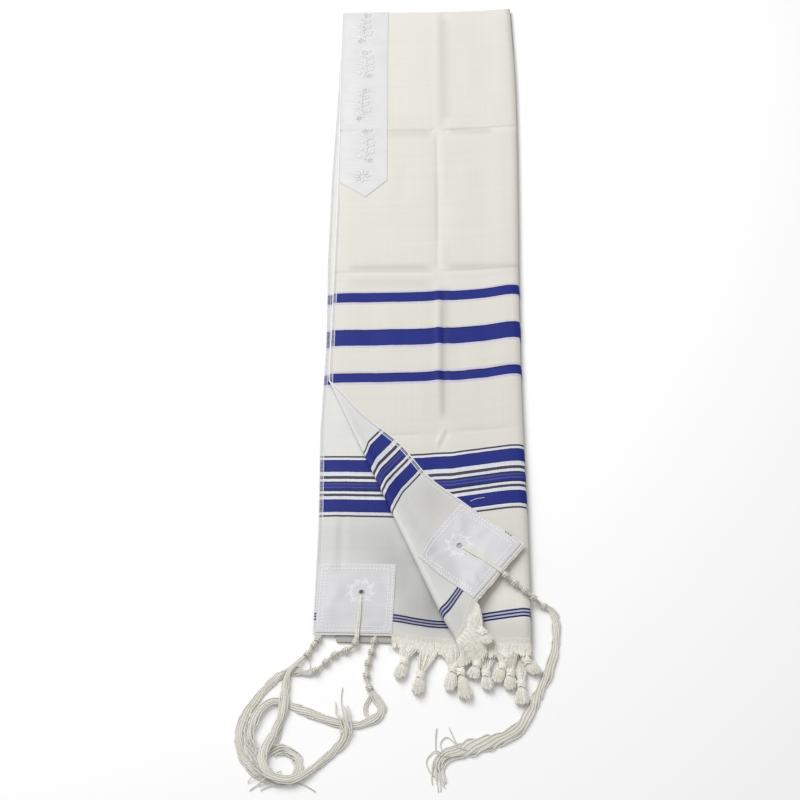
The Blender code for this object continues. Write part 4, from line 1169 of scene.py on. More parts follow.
def bundleParts(path, widths, look, rng):  # threads side by side in two layers, slowly turning over
    line = evenly(path, look["step"])
    _, aside, upwards = axesAlong(line)
    along = travelled(line)
    opened = 0.35 + 0.65 * np.clip(along / look["opensOver"], 0, 1)
    width = np.interp(along[-1] - along, *(np.array(widths).T * [[mm], [1]]))
    width *= look["halfWidth"] * (opened + drift(along, rng, 0.16))
    start = rng.uniform(0, tau)
    turned = along / look["turnLength"] * tau + drift(along, rng, 0.5)
    turns = np.linspace(0, tau, 10, endpoint=False)
    taper = (along[-1] - along - look["ribbonEnd"]) / look["ribbonTaper"]
    ribbon = look["ribbon"] * width * np.clip(taper, 0.05, 1)
    rings = line[:, None] + aside[:, None] * (ribbon[:, None] * np.cos(turns))[..., None]
    rings = rings + upwards[:, None] * (look["halfHeight"] * opened[:, None] * np.sin(turns))[..., None]
    rings[..., 2] = np.maximum(rings[..., 2], 0.1 * mm)
    parts = [ridged(rings[:-round(look["ribbonShort"] / look["step"])], 0.93)]
    for number in range(look["threads"]):
        turn = start + turned + tau * number / look["threads"]
        across = width * np.arcsin(np.sin(turn)) / (math.pi / 2) + drift(along, rng, 0.5 * mm)
        height = look["halfHeight"] * np.tanh(2 * np.cos(turn)) * opened
        points = line + aside * across[:, None] + upwards * height[:, None]
        points[:, 2] = np.maximum(points[:, 2], look["thread"] * 1.05)
        cut = len(points) - int(rng.uniform(0, look["cutShort"]) / look["step"])
        tone = rng.uniform(*look["tones"])
        parts.append(threadPart(points[:cut], look["thread"], tone, 6, ply=look["ply"]))
    return parts


def buildCornerFringe(corner, material, seed):
    look = cornerFringe
    rng = np.random.default_rng(seed)
    stops = [laidPoint(corner["layer"], across, fromHem) for across, fromHem in corner["laid"]]
    stops += [Vector(stop) * mm for stop in corner["stem"]]
    stemSteps = 8 * (len(stops) - 1)
    stops += [threadStop(stop, number == 0) for number, stop in enumerate(corner["threads"])]
    route = curveThrough(stops)
    stem = evenly(route[:stemSteps + 1], 0.8 * mm)
    bound = int(corner["boundFrom"] * len(stem))
    parts = []
    if corner["laid"]:
        free = stem[:bound + 4]
        _, aside, upwards = axesAlong(free)
        shares = np.linspace(0, 1, len(free))
        gather = 0.6 + 0.55 * shares
        for number in range(look["freeThreads"]):
            offset = (number - (look["freeThreads"] - 1) / 2) * look["freePitch"] * gather
            offset += drift(travelled(free), rng, 0.3 * mm)
            dip = look["freeDip"] * np.exp(-travelled(free) / look["freeDipOver"])
            height = (number % 2) * 0.4 * mm - dip
            points = free + aside * offset[:, None] + upwards * height[:, None]
            parts.append(threadPart(points, look["thread"], rng.uniform(*look["tones"]), 6, ply=look["ply"]))
    core = stem[bound:]
    parts.append(threadPart(core, look["core"], 0.95, 8))
    wound, out = woundLine(core, look["windRadius"], look["windPitch"])
    parts.append(threadPart(wound, look["windThread"], 1.0, 5, out))
    direction = np.gradient(core, axis=0)
    knots = corner.get("knots", look["knots"])
    for knot in range(knots):
        at = min(len(core) - 1, round((knot + 0.5) / knots * len(core)))
        if knot == knots - 1:
            at = round(look["lastKnotAt"] * len(core))
        parts += knotParts(core[at], direction[at], look["knot"], rng)
    loose = np.concatenate([core[-4:-1], route[stemSteps:]])
    parts += bundleParts(loose, corner.get("widths", look["widths"]), look, rng)
    for stray in corner["strays"]:
        path = evenly(curveThrough([Vector(stop) * mm for stop in stray]), look["step"])
        path[:, 2] = np.maximum(path[:, 2], look["thread"])
        parts.append(threadPart(path, look["thread"] * 0.8, rng.uniform(0.86, 1.0), 5, ply=look["ply"]))
    name = corner["name"]
    return joinParts("cornerFringe" + name, parts, material, "tzitzit_" + name.lower())


tassels = [  # millimetres: where each leaves its hem, its knot and the end of its tuft
    {"hem": "inner", "root": -10, "knot": (-18, -472, 3.0), "end": (-24, -492)},
    {"hem": "inner", "root": 8, "knot": (-1, -487, 3.0), "end": (-5, -509)},
    {"hem": "inner", "root": 29, "knot": (32, -480, 3.0), "end": (28, -505)},
    {"hem": "back", "root": 41, "knot": (40, -483, 3.0), "end": (46, -514), "flare": 0.4},
    {"hem": "outer", "root": 58, "knot": (57, -474, 3.2), "end": (51, -490), "flare": 0.2},
    {"hem": "back", "root": 66, "knot": (66, -484, 3.0), "end": (68, -503)},
    {"hem": "outer", "root": 80, "knot": (83, -476, 3.2), "end": (75, -495)},
    {"hem": "outer", "root": 92, "knot": (91, -483, 3.0), "end": (90, -503)},
    {"hem": "back", "root": 101, "knot": (102, -495, 3.0), "end": (102, -519), "flare": 0.4},
    {"hem": "outer", "root": 106, "knot": (108, -470, 3.2), "end": (120, -484)},
    {"hem": "flap", "root": -9, "knot": (62.5, -441.5, 10.5), "end": (70, -455), "reach": 17, "fan": 64},
]
hemFringe = {
    **inMm(
        thread=0.42, step=1.2,
        fanReach=13,  # a knot gathers the hem's threads from this far on each side at most
        gathered=2.4, tuftHalfWidth=6.6, tuftHalfHeight=2.7, crinkle=0.32, crinkleLength=4.4,
        patchVeil=1.8,  # the hem's ragged edge beside the turned corner's patch
        looseStep=0.7, fallBow=12, fallStray=1.1, fallSpread=0.7, knotLift=1.6, backHemZ=1.5,
    ),
    "fan": 28, "web": {"columns": 9, "rows": 12, "thick": 0.7 * mm, "below": 0.15 * mm}, "tuft": 46,
    "core": 0.86,  # of the tuft's own width and length
    "knot": {**inMm(radius=4.1, length=6.4, thread=1.05), "loops": 6, "lean": 0.45, "flat": 0.8},
    "veil": {**inMm(step=0.9, over=5, drop=0.9), "ragged": 0.25, "rows": 12, "hemShadeTone": 0.735},
    "veils": {"inner": 13 * mm, "back": 8 * mm, "outer": 14 * mm, "flap": 7 * mm},
    "looseLength": (8 * mm, 18 * mm), "fall": 70,
    "falls": (  # millimetres: where the turned corner's threads leave its hem, and where they end
        {"low": -12, "high": 10, "knot": (63, -465, 7.4), "half": 4},
        {"low": -2, "high": 20, "knot": (57, -471, 6.9), "half": 6},
        {"low": 8, "high": 30, "knot": (48, -473, 6.4), "half": 7},
        {"low": 16, "high": 34, "knot": (38, -477, 6.0), "half": 5.5},
    ),
    "layHeights": ((-447, 7.6), (-455, 6.6), (-480, 6.0)),  # how high the fallen threads lie, by y
    "tones": (0.90, 1.05),
}


def hemPoint(hem, x, s):
    if hem == "inner":
        return onInner(x, s)
    if hem == "back":
        return Vector((x, backY(x, s), hemFringe["backHemZ"]))
    return outerPoint(x, s)


def hemSpan(hem):  # no thread leaves the hem under a corner patch
    right = rightEdge(strip["hemS"]) - strip["foldRadius"]
    starts = rollLimits(strip["hemS"])[1]
    spans = {"inner": (-31 * mm, right), "back": (-10 * mm, right), "outer": (starts + 2 * mm, right)}
    spans["flap"] = (outerLeft(strip["hemS"]) + patches["side"] + 3 * mm, turnedCorner["bulgeEnds"] + 4 * mm)
    return spans[hem]


def crinkled(path, rng, size=1.0):
    along = travelled(path)
    _, aside, _ = axesAlong(path)
    length = hemFringe["crinkleLength"] * rng.uniform(0.8, 1.4)
    first, second = rng.uniform(0, tau, 2)
    swell = hemFringe["crinkle"] * size * rng.uniform(0.5, 1.2)
    wave = swell * np.sin(along / length * tau + first)
    lift = swell * 0.5 * np.sin(along / length * 1.6 * np.pi + second)
    path = path + aside * wave[:, None]
    path[:, 2] = np.maximum(path[:, 2] + lift, hemFringe["thread"] * 1.1)
    return path


def fanRoute(hem, low, high, knot, ahead, share, stray=(0, 0, 0, 0)):  # a thread's way from hem to knot
    look = hemFringe
    square = unit(np.cross((0, 0, 1), ahead))
    flip = 1 if square[0] > 0 and hem != "flap" else -1
    across = look["gathered"] * (2 * share - 1) * flip
    arrive = knot - ahead * 2.6 * mm + square * across + np.array((0, 0, look["gathered"] * 0.7 * stray[0]))
    x = blend(low, high, share)
    edge = hemPoint(hem, x, strip["hemS"] - 2 * mm)
    past = hemPoint(hem, x, strip["hemS"] + (4.5 + 1.5 * stray[1]) * mm)
    past.z -= 0.6 * mm
    middle = blend(np.array(past), arrive, 0.5) + square * (across * 0.6 + 0.8 * mm * stray[2])
    middle[2] = max(middle[2], 0.8 * mm) + 0.8 * mm * stray[3]
    return curveThrough([edge, past, middle, arrive, knot])


def webPart(routeAt, short, tone):  # a thin ridged skin just below the threads, along their routes
    web = hemFringe["web"]
    routes = [routeAt(share) for share in np.linspace(0.03, 0.97, web["columns"])]
    places = np.linspace(0, len(routes[0]) - short, web["rows"]).astype(int)
    top = np.stack([route[places] for route in routes], axis=1) - (0, 0, web["below"])
    under = top[:, ::-1] - (0, 0, web["thick"])
    under[..., 2] = np.maximum(under[..., 2], 0.05 * mm)
    return ridged(np.concatenate([top, under], axis=1), tone)


def fanParts(hem, low, high, knot, ahead, count, rng):  # the hem's threads from low to high, into a knot
    look = hemFringe
    parts = []
    for number in range(count):
        share = (number + rng.uniform(0.1, 0.9)) / count
        path = evenly(fanRoute(hem, low, high, knot, ahead, share, rng.uniform(-1, 1, 4)), look["step"])
        parts.append(threadPart(crinkled(path, rng), look["thread"], rng.uniform(*look["tones"])))
    return parts + [webPart(lambda share: fanRoute(hem, low, high, knot, ahead, share), 3, 0.98)]


def tuftParts(knot, end, flare, rng):  # the cut ends below a knot, in a full round brush
    look = hemFringe
    length = np.linalg.norm(end - knot)
    flow = unit(end - knot)
    aside = np.cross((0, 0, 1), flow)

    def swellAt(t):
        return 1 - (1 - t) ** 2.6 - 0.16 * t**6 + flare * (t**2 - 0.3)

    turns = np.linspace(0, tau, 14, endpoint=False)
    rings = []
    for t in np.linspace(0, 1, 12):
        swell, rounded = swellAt(t), look["core"] * math.sqrt(1 - 0.85 * t**5)
        wide = look["tuftHalfWidth"] * rounded * (0.25 + 0.75 * swell)
        high = look["tuftHalfHeight"] * rounded * (0.4 + 0.6 * swell)
        ring = knot + flow * (length * look["core"] * t) + np.cos(turns)[:, None] * aside * wide
        ring[:, 2] += np.sin(turns) * high - 0.6 * mm * t
        rings.append(ring)
    parts = [ridged(np.array(rings), 0.98)]
    for number in range(look["tuft"]):
        angle, reach = number * 2.39996, 0.78 + 0.22 * math.sqrt((number + 0.5) / look["tuft"])
        wide, high = math.cos(angle) * reach, math.sin(angle) * reach
        own = length * (1 - 0.26 * (1 - flare) * wide**2 - rng.uniform(0, 0.12)) + 1.5 * mm
        t = np.linspace(0, 1, max(6, round(own / look["step"])))
        swell = swellAt(t)
        path = knot + flow * (own * t)[:, None]
        path = path + aside * (look["tuftHalfWidth"] * wide * (0.25 + 0.75 * swell))[:, None]
        path[:, 2] += look["tuftHalfHeight"] * high * (0.4 + 0.6 * swell) - 0.6 * mm * t
        parts.append(threadPart(crinkled(path, rng, 0.8), look["thread"], rng.uniform(*look["tones"])))
    return parts


def veilPart(hem, start, stop, length, rng):  # the dense beginning of the threads, just past the hem
    veil = hemFringe["veil"]
    xs = np.arange(start, stop, veil["step"])
    lengths = length * (1 + veil["ragged"] * rng.uniform(-1, 1, len(xs)) + 0.12 * np.sin(xs / (3.1 * mm)))
    ts = np.linspace(0, 1, veil["rows"])
    ripples = 0.25 * mm * np.sin(xs / (0.75 * mm)) + 0.2 * mm * rng.uniform(-1, 1, len(xs))
    rings = []
    for x, own, ripple in zip(xs, lengths, ripples):
        starts = strip["hemS"] - veil["over"]
        middle = np.array([hemPoint(hem, x, starts + t * (own + veil["over"])) for t in ts])
        half = 0.35 * mm * (1 - ts) + 0.12 * mm
        level = 0.2 * mm * (1 - ts) + ripple * smooth(length / (8 * mm)) * ts - veil["drop"] * ts**2
        middle[:, 2] = np.maximum(middle[:, 2] + level, 0.6 * mm)
        upwards = half[:, None] * (0, 0, 1)
        rings.append(np.concatenate([middle + upwards, (middle - upwards)[::-1]]))
    rings = np.array(rings)
    across = np.broadcast_to(xs[:, None], (len(xs), rings.shape[1] + 1))
    # painted shade: the veil is darker where it leaves the hem and lightens towards its ends
    tones = np.array([blend(veil["hemShadeTone"], 1.0, smooth((t - 0.25) / 0.75)) for t in ts])
    tones = np.concatenate([tones, tones[::-1]])
    return loftPart(rings, np.stack([np.zeros_like(across), across], axis=-1), np.tile(tones, len(xs)))


def looseParts(hem, start, stop, rng):  # short threads that no knot has caught
    look = hemFringe
    parts = []
    for x in np.arange(start, stop, look["looseStep"]):
        x = x + rng.uniform(-0.4, 0.4) * mm
        length = rng.uniform(*look["looseLength"])
        lean = rng.uniform(-0.35, 0.35) * length
        tip = hemPoint(hem, x + lean, strip["hemS"] + length)
        tip.z = max(0.6 * mm, tip.z - length * rng.uniform(0.05, 0.3))
        middle = hemPoint(hem, x + lean * 0.2, strip["hemS"] + length * 0.45)
        route = [hemPoint(hem, x, strip["hemS"] - 3 * mm), middle, tip]
        path = evenly(curveThrough(route), look["step"])
        parts.append(threadPart(crinkled(path, rng, 1.2), look["thread"] * 0.9, rng.uniform(*look["tones"])))
    return parts


def fallRoute(fall, share, stray=(0, 0, 0)):  # one of the turned corner's threads, lying over the hem below
    look = hemFringe
    heights = np.array(look["layHeights"]) * mm
    x = blend(fall["low"], fall["high"], share) * mm
    edge = hemPoint("flap", x, strip["hemS"] - 2 * mm)
    past = np.array(hemPoint("flap", x, strip["hemS"] + (3.5 + stray[0]) * mm))
    way = np.array(fall["knot"]) * mm - past
    square = unit(np.cross((0, 0, 1), unit(way * (1, 1, 0))))
    stops = [edge, past]
    for part in (0.4, 0.75, 1 + 0.14 * stray[1]):
        spot = past + way * part - square * (2 * share - 1) * part * fall["half"] * mm
        spot[0] += look["fallBow"] * part * (1 - part) + look["fallStray"] * stray[2]
        lies = np.interp(spot[1], heights[::-1, 0], heights[::-1, 1])
        spot[2] = max(spot[2], lies) + look["fallSpread"] * stray[1]
        stops.append(spot)
    return curveThrough(stops)


def fallenParts(rng):
    look = hemFringe
    parts = []
    for fall in look["falls"]:
        for number in range(look["fall"]):
            share = (number + rng.uniform(0, 1)) / look["fall"]
            path = evenly(fallRoute(fall, share, rng.uniform(-1, 1, 3)), look["step"])
            parts.append(threadPart(crinkled(path, rng, 1.2), look["thread"], rng.uniform(*look["tones"])))
        parts.append(webPart(lambda share, fall=fall: fallRoute(fall, share), 5, 0.96))
    return parts


def buildHemFringe(hem, material, seed):
    look = hemFringe
    rng = np.random.default_rng(seed)
    start, stop = hemSpan(hem)
    own = sorted((t for t in tassels if t["hem"] == hem), key=lambda t: t["root"])
    bounds = [start] + [(a["root"] + b["root"]) / 2 * mm for a, b in zip(own, own[1:])] + [stop]
    parts = [veilPart(hem, start, stop, look["veils"][hem], rng)]
    if hem == "flap":
        parts.append(veilPart(hem, outerLeft(strip["hemS"]), start, look["patchVeil"], rng))
    for tassel, low, high in zip(own, bounds, bounds[1:]):
        root = tassel["root"] * mm
        reach = tassel.get("reach", look["fanReach"] / mm) * mm
        low, high = max(low, root - reach), min(high, root + reach)
        knot = np.array(tassel["knot"]) * mm
        knot[2] += look["knotLift"]
        end = np.array((*tassel["end"], knot[2] / mm)) * mm
        arriving = unit(knot - np.array(hemPoint(hem, root, strip["hemS"])))
        ahead = unit((unit(end - knot) + arriving) * (1, 1, 0))
        parts += fanParts(hem, low, high, knot, ahead, tassel.get("fan", look["fan"]), rng)
        parts += knotParts(knot, ahead, look["knot"], rng)
        parts += tuftParts(knot, end, tassel.get("flare", 0), rng)
    if hem == "flap":
        parts += fallenParts(rng)
    else:
        parts += looseParts(hem, start, stop, rng)
    return joinParts("hemFringe" + hem.title(), parts, material, "fringe_" + hem)


selvages = {
    **inMm(
        pitch=1.7, thread=0.3, outerReach=4.0, innerReach=4.2,
        underBand=1.7,  # how far in the stitches reach beside the neckband
        underPatch=1.2, sample=6, cordStep=3, fineStep=0.6, fineFrom=864, cord=0.7, floorCord=0.42,
        seam=0.55,
    ),
    "seamTone": 0.92, "stripeTone": 0.25,
}


def whipStitches(surface, left, reachAt, step, start=3 * mm):
    # Thread wound over a selvage. left gives the edge's x and reachAt how far in it goes, both by s.
    look = selvages
    places = np.arange(start, strip["hemS"] - 2 * mm, look["sample"])
    edge = np.array([surface(left(s), s) for s in places])
    within = np.array([surface(left(s) + 2 * mm, s) for s in places])
    normal = np.array([lifted(surface, left(s), s, 1.0) - surface(left(s), s) for s in places])
    inwards = unit(within - edge)
    length = travelled(edge)
    fine = np.arange(0, length[-1], look["pitch"] / step)
    across = tau * fine / look["pitch"]

    def at(rows):
        return np.stack([np.interp(fine, length, axis) for axis in rows.T], axis=1)

    reach = np.interp(fine, length, [reachAt(s) for s in places])
    half = (reach + look["thread"]) / 2
    height = np.sign(np.sin(across)) * np.abs(np.sin(across)) ** 0.5
    height *= strip["wall"] / 2 + look["thread"] * 0.8
    path = at(edge) + at(inwards) * (half * (1 - np.cos(across)) - look["thread"])[:, None]
    path += at(normal) * height[:, None]
    out = unit(at(normal) * np.sin(across)[:, None] - at(inwards) * np.cos(across)[:, None])
    tones = stripeTone(np.interp(fine, length, places))
    return threadPart(path, look["thread"], np.repeat(tones, 4), 4, out)


def stripeTone(places):  # the hem's stripes go on over the selvage
    tones = np.ones(len(places))
    for (start, colour), (stop, _) in zip(stripeSets["hem"], stripeSets["hem"][1:]):
        if colour == "navy":
            tones[(places >= start * mm) & (places < stop * mm)] = selvages["stripeTone"]
    return tones


def selvageCord(surface, left, start, stop, radius, tone):
    look = selvages
    places = np.arange(start, stop, look["cordStep"])
    fine = np.arange(look["fineFrom"], stop, look["fineStep"])
    places = np.concatenate([places[places < look["fineFrom"]], fine])
    path = np.array([surface(left(s) + radius * 0.3, s) for s in places])
    return threadPart(path, radius, np.repeat(tone * stripeTone(places), 8), 8, ply=0.08)


def buildSelvages(material):
    look = selvages
    patchFrom = strip["hemS"] - patches["side"] - 4 * mm

    def outerReach(s):
        if s < neckband["pointS"]:
            return look["underBand"]
        return look["underPatch"] if s > patchFrom else look["outerReach"]

    def innerReach(s):
        return look["underPatch"] if s > patchFrom else look["innerReach"]

    def backLeft(s):
        return backCloth["leftX"]

    def outerSeam(s):
        return outerLeft(s) + look["outerReach"]

    def innerSeam(s):
        return innerLeft(s) + look["innerReach"]

    hemS, cord = strip["hemS"], look["cord"]
    seam = look["seam"], look["seamTone"]
    parts = [
        whipStitches(onOuter, outerLeft, outerReach, 8),
        whipStitches(onInner, innerLeft, innerReach, 8),
        whipStitches(onBack, backLeft, lambda s: look["underPatch"], 8),
        selvageCord(onOuter, outerLeft, 0, hemS, cord, 1.04),
        selvageCord(onInner, innerLeft, 6 * mm, hemS, cord * 0.8, 1.0),
        selvageCord(onOuter, outerSeam, neckband["pointS"], patchFrom, *seam),
        selvageCord(onInner, innerSeam, 6 * mm, patchFrom, *seam),
        selvageCord(onFloor, backLeft, 4 * mm, hemS, look["floorCord"], 0.97),
    ]
    return joinParts("selvageStitches", parts, material)


embroidery = {
    **inMm(
        leafHeight=0.22, outline=0.2, whiteLine=0.5, stitch=3.2, stitchGap=0.5, stitchThread=0.66,
        seamStitch=1.6, seamGap=0.8, seamThread=0.2,
    ),
    "leafWidth": 0.40,  # of its length
    # painted shade: the outlines, stems and seams are darker than the pads, along the raised stitching
    "tones": {"pad": 0.92, "outline": 0.74, "stem": 0.77, "seam": 0.76, "white": 1.1},
}


def makeLeaf():  # a pointed pad one unit long from the origin along X, flat underneath
    bpy.ops.object.select_all(action="DESELECT")
    bpy.ops.mesh.primitive_uv_sphere_add(segments=12, ring_count=8, radius=0.5, location=(0, 0, 0))
    leaf = bpy.context.object
    bpy.ops.object.mode_set(mode="EDIT")
    bpy.ops.mesh.select_all(action="SELECT")
    bpy.ops.transform.rotate(value=math.pi / 2, orient_axis="Y", center_override=(0, 0, 0))
    bpy.ops.transform.translate(value=(0.5, 0, 0))
    bpy.ops.transform.resize(value=(1, embroidery["leafWidth"], 1), center_override=(0, 0, 0))
    bpy.ops.mesh.bisect(plane_co=(0, 0, 0), plane_no=(0, 0, 1), use_fill=True, clear_inner=True)
    bpy.ops.mesh.select_all(action="SELECT")
    bpy.ops.mesh.quads_convert_to_tris()
    bpy.ops.object.mode_set(mode="OBJECT")
    for vertex in leaf.data.vertices:
        vertex.co.y *= leafTaper(vertex.co.x)
    points = np.array([vertex.co for vertex in leaf.data.vertices])
    faces = np.array([list(polygon.vertices) for polygon in leaf.data.polygons])
    bpy.data.objects.remove(leaf)
    return points, faces


def leafTaper(x):
    return 1 - 0.6 * max(0, x - 0.5) / 0.5


def upFrom(place, base):
    return np.array((place(*base, 1 * mm) - place(*base, 0)).normalized())


def leafParts(template, place, base, turn, length, white=False):  # its pad, outline and vein, laid by place
    points, faces = template
    cos, sin = math.cos(turn), math.sin(turn)
    tones, out = embroidery["tones"], upFrom(place, base)

    def lay(x, y, height):
        return place(base[0] + (x * cos - y * sin) * length, base[1] + (x * sin + y * cos) * length, height)

    parts = []
    if not white:
        pad = np.array([lay(x, y, 2 * z * embroidery["leafHeight"]) for x, y, z in points])
        uv = points[faces][..., :2].reshape(-1, 2) * length
        parts.append({"points": pad, "faces": [faces], "uvs": [uv], "tone": tones["pad"]})
    rim = []
    for n in range(17):
        angle = tau * n / 16
        x = 0.5 - 0.5 * math.cos(angle)
        y = embroidery["leafWidth"] / 2 * math.sin(angle) * leafTaper(x)
        rim.append(lay(x, y * 1.12, -0.1 * mm if white else 0.12 * mm))
    level = -0.25 * mm if white else 0.1 * mm
    vein = [lay(x, 0, math.sqrt(x - x * x) * embroidery["leafHeight"] + level) for x in (0, 0.25, 0.5, 0.78)]
    radius = embroidery["whiteLine" if white else "outline"]
    tone = tones["white" if white else "outline"]
    return parts + [threadPart(np.array(path), radius, tone, 4, out) for path in (rim, vein)]


def flowerParts(template, place, centre, petal, count, white=False):
    parts = []
    for n in range(count):
        turn = math.pi / 2 + tau * n / count
        base = (centre[0] + math.cos(turn) * petal * 0.3, centre[1] + math.sin(turn) * petal * 0.3)
        parts += leafParts(template, place, base, turn, petal, white)
    return parts


def strokePart(place, spots, radius, tone):
    path = [place(*spot, radius * 0.7) for spot in spots]
    return threadPart(np.array(path), radius, embroidery["tones"][tone], 5, upFrom(place, spots[0]))


def sprigParts(template, place, height, look, lean):  # leaves along a bowed stem, with small flowers
    def stemAt(t):
        return lean * math.sin(math.pi * t), height * t

    parts = [strokePart(place, [stemAt(n / 12) for n in range(13)], look["stem"], "stem")]
    for n in range(look["leaves"]):
        t = (n + 0.8) / (look["leaves"] + 0.8)
        side = 1 if n % 2 else -1
        turn = math.pi / 2 - side * math.radians(look["open"])
        foot = stemAt(t)
        stalk = look["stalk"] * (1 - 0.5 * t)
        tip = (foot[0] + math.cos(turn) * stalk, foot[1] + math.sin(turn) * stalk)
        parts.append(strokePart(place, [foot, tip], look["stem"], "stem"))
        parts += leafParts(template, place, tip, turn + side * 0.25, look["leaf"] * (1.1 - 0.3 * t))
        parts += leafParts(template, place, foot, turn + side * 0.75, look["leaf"] * (0.8 - 0.25 * t))
    parts += flowerParts(template, place, (0, height), look["bud"], 5)
    side = 1 if lean > 0 else -1
    parts += flowerParts(template, place, (side * look["side"][0], look["side"][1]), look["bud"], 6)
    return parts


def stitchParts(place, start, stop, stitch, gap, radius, tone):  # a straight line of running stitches
    length = math.dist(start, stop)
    count = max(1, round(length / (stitch + gap)))
    parts = []
    for n in range(count):
        path = []
        for t, height in ((0, -0.9), (0.12, -0.45), (0.5, -0.3), (0.88, -0.45), (1, -0.9)):
            share = (n + t * stitch / (stitch + gap)) / count
            u, v = (blend(a, b, share) for a, b in zip(start, stop))
            path.append(place(u, v, height * radius))
        parts.append(threadPart(np.array(path), radius, embroidery["tones"][tone], 5, upFrom(place, start)))
    return parts


bandMotifs = {  # the foot and the height of each sprig, from the band's edge and along it
    **inMm(stalk=6.5, leaf=9.2, stem=0.2, bud=3.4, lean=3, petal=8.5, edge=1.4, seamTop=2),
    "sprigs": ((29, 54, 50), (28, 114, 45), (29, 185, 51), (30, 254, 53)), "leaves": 8, "open": 54,
    "rosette": (27.5, 275),
    "side": (6.5 * mm, 4 * mm),  # where the flower at a sprig's foot is
}


def buildBandEmbroidery(template, material):
    def place(u, s, height):
        return bandPoint(u, s, neckband["thick"] / 2 + height)

    parts = []
    for number, (u, foot, height) in enumerate(bandMotifs["sprigs"]):
        def upwards(a, b, h, u=u, foot=foot):
            return place(u * mm + a, foot * mm - b, h)

        lean = bandMotifs["lean"] * (1 if number % 2 else -1)
        parts += sprigParts(template, upwards, height * mm, bandMotifs, lean)
    u, s = bandMotifs["rosette"]
    parts += flowerParts(template, place, (u * mm, s * mm), bandMotifs["petal"], 8)
    edge, width = bandMotifs["edge"], neckband["width"]
    tip = neckband["width"] * neckband["pointAcross"]
    top = bandMotifs["seamTop"]
    corners = [(edge, top), (edge, bandEnd(edge) - edge), (tip, bandEnd(tip) - 1.3 * edge),
               (width - edge, bandEnd(width - edge) - edge), (width - edge, top)]
    stitch = embroidery["seamStitch"]
    gap, thread = embroidery["seamGap"], embroidery["seamThread"]
    for start, stop in zip(corners, corners[1:]):
        parts += stitchParts(place, start, stop, stitch, gap, thread, "seam")
    return joinParts("neckbandEmbroidery", parts, material)


patchMotif = {
    **inMm(
        wreath=11.5, leaf=6.4, ring=2.7, ringThread=0.28, ringWind=0.75, holeDepth=0.35,
    ),
    "leaves": 9, "open": 34, "borders": (2.2 * mm, 6.6 * mm), "holeShadeTones": {"inner": 0.1, "outer": 0.5},
}


def circle(place, centre, radius, height, count=40):
    turns = [tau * n / count for n in range(count)]
    return [place(centre[0] + math.cos(a) * radius, centre[1] + math.sin(a) * radius, height) for a in turns]


def buildPatchEmbroidery(which, template, material):
    look = patchMotif

    def place(across, up, height):
        return patchPoint(which, across, up, patches["thick"] / 2 + height)

    side = patches["side"]
    hole = patches["eyelets"][which]
    parts = []
    for inset in look["borders"]:
        corners = [(inset, inset), (side - inset, inset), (side - inset, side - inset), (inset, side - inset)]
        for start, stop in zip(corners, corners[1:] + corners[:1]):
            parts += stitchParts(place, start, stop, embroidery["stitch"], embroidery["stitchGap"],
                                 embroidery["stitchThread"], "white")
    for n in range(look["leaves"]):
        turn = tau * (n + 0.5) / look["leaves"]
        base = (hole[0] + math.cos(turn) * look["wreath"], hole[1] + math.sin(turn) * look["wreath"])
        for side in (1, -1):
            lean = math.pi / 2 + side * math.radians(look["open"])
            parts += leafParts(template, place, base, turn + lean, look["leaf"], True)
    rim = circle(place, hole, look["wreath"], -0.1 * mm)
    tones = embroidery["tones"]
    radius = embroidery["whiteLine"]
    parts.append(threadPart(np.array(rim + rim[:1]), radius, tones["white"], 5, upFrom(place, hole)))
    ring = circle(place, hole, look["ring"], 0.1 * mm)
    wound, out = woundLine(ring + ring[:1], look["ringWind"] * 0.7, look["ringWind"])
    parts.append(threadPart(wound, look["ringThread"], tones["pad"], 4, out))
    # painted shade: a dark disc just under the eyelet stands in for the shade inside the hole
    disc = np.array(circle(place, hole, look["ring"], -look["holeDepth"], 20))
    faces = np.arange(20)[None]
    if which == "outer":
        faces = faces[:, ::-1]
    tone = look["holeShadeTones"][which]
    parts.append({"points": disc, "faces": [faces], "uvs": [np.zeros((20, 2))], "tone": tone})
    return joinParts("patchEmbroidery" + which.title(), parts, material)


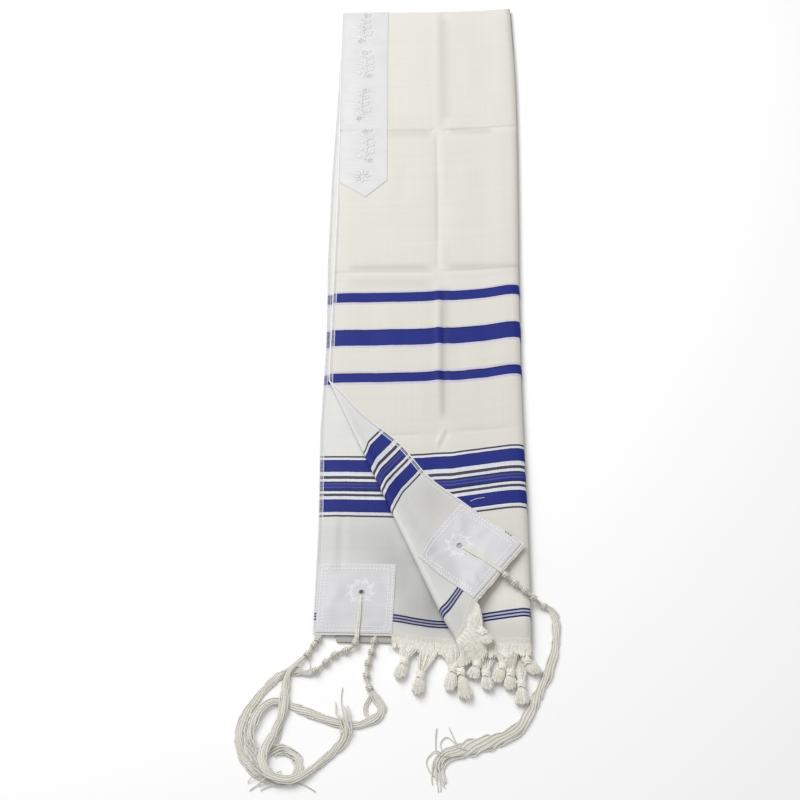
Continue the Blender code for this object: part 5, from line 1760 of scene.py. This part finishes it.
looseThread = {"stops": ((50.5, -285), (56.5, -281.8), (66.6, -279.8)), "radius": 0.3 * mm}


def buildLooseThread(material):  # a cut end of sewing thread on the outer layer
    path = []
    for x, y in looseThread["stops"]:
        z = outerZ(x * mm, y * mm) + wrinkled(x * mm, y * mm, outerWrinkles)
        path.append(Vector((x * mm, y * mm, z + strip["wall"] / 2 + looseThread["radius"])))
    parts = [threadPart(evenly(curveThrough(path), 1 * mm), looseThread["radius"], 1.12, 6, ply=0.15)]
    return joinParts("looseThread", parts, material)


buildStudio()
print("studio ready")
woolFace = woolMaterial("woolFace", woolLook["cream"], woolLook["warm"])
woolReverse = woolMaterial("woolReverse", woolLook["reverse"], woolLook["reverseWarm"])
bandSatin = satinMaterial("bandSatin", (0.625, 0.625, 0.632, 1))
patchSatin = satinMaterial("patchSatin", (0.60, 0.60, 0.612, 1))
fringeThread = threadMaterial("fringeThread", (0.75, 0.737, 0.683, 1), (0.715, 0.692, 0.612, 1))
hemThread = threadMaterial("hemThread", (0.90, 0.885, 0.83, 1), (0.87, 0.835, 0.745, 1))
sewingThread = threadMaterial("sewingThread", (0.80, 0.80, 0.81, 1), (0.76, 0.76, 0.775, 1), 0.45)
print("materials ready")
front = buildFront(woolFace, woolReverse)
back = buildBack(woolFace, woolReverse)
print("cloth folded")
band = buildNeckband(bandSatin)
innerPatch = buildPatch("inner", patchSatin)
outerPatch = buildPatch("outer", patchSatin)
print("neckband and patches sewn on")
edging = buildSelvages(sewingThread)
leaf = makeLeaf()
bandStitches = buildBandEmbroidery(leaf, sewingThread)
innerStitches = buildPatchEmbroidery("inner", leaf, sewingThread)
outerStitches = buildPatchEmbroidery("outer", leaf, sewingThread)
print("selvages and embroidery stitched")
for seed, corner in enumerate(cornerRoutes):
    buildCornerFringe(corner, fringeThread, seed + 11)
print("corner fringes knotted")
hemNames = ("inner", "back", "outer", "flap")
hems = {hem: buildHemFringe(hem, hemThread, seed) for seed, hem in enumerate(hemNames, 31)}
buildLooseThread(sewingThread)
print("hems fringed")
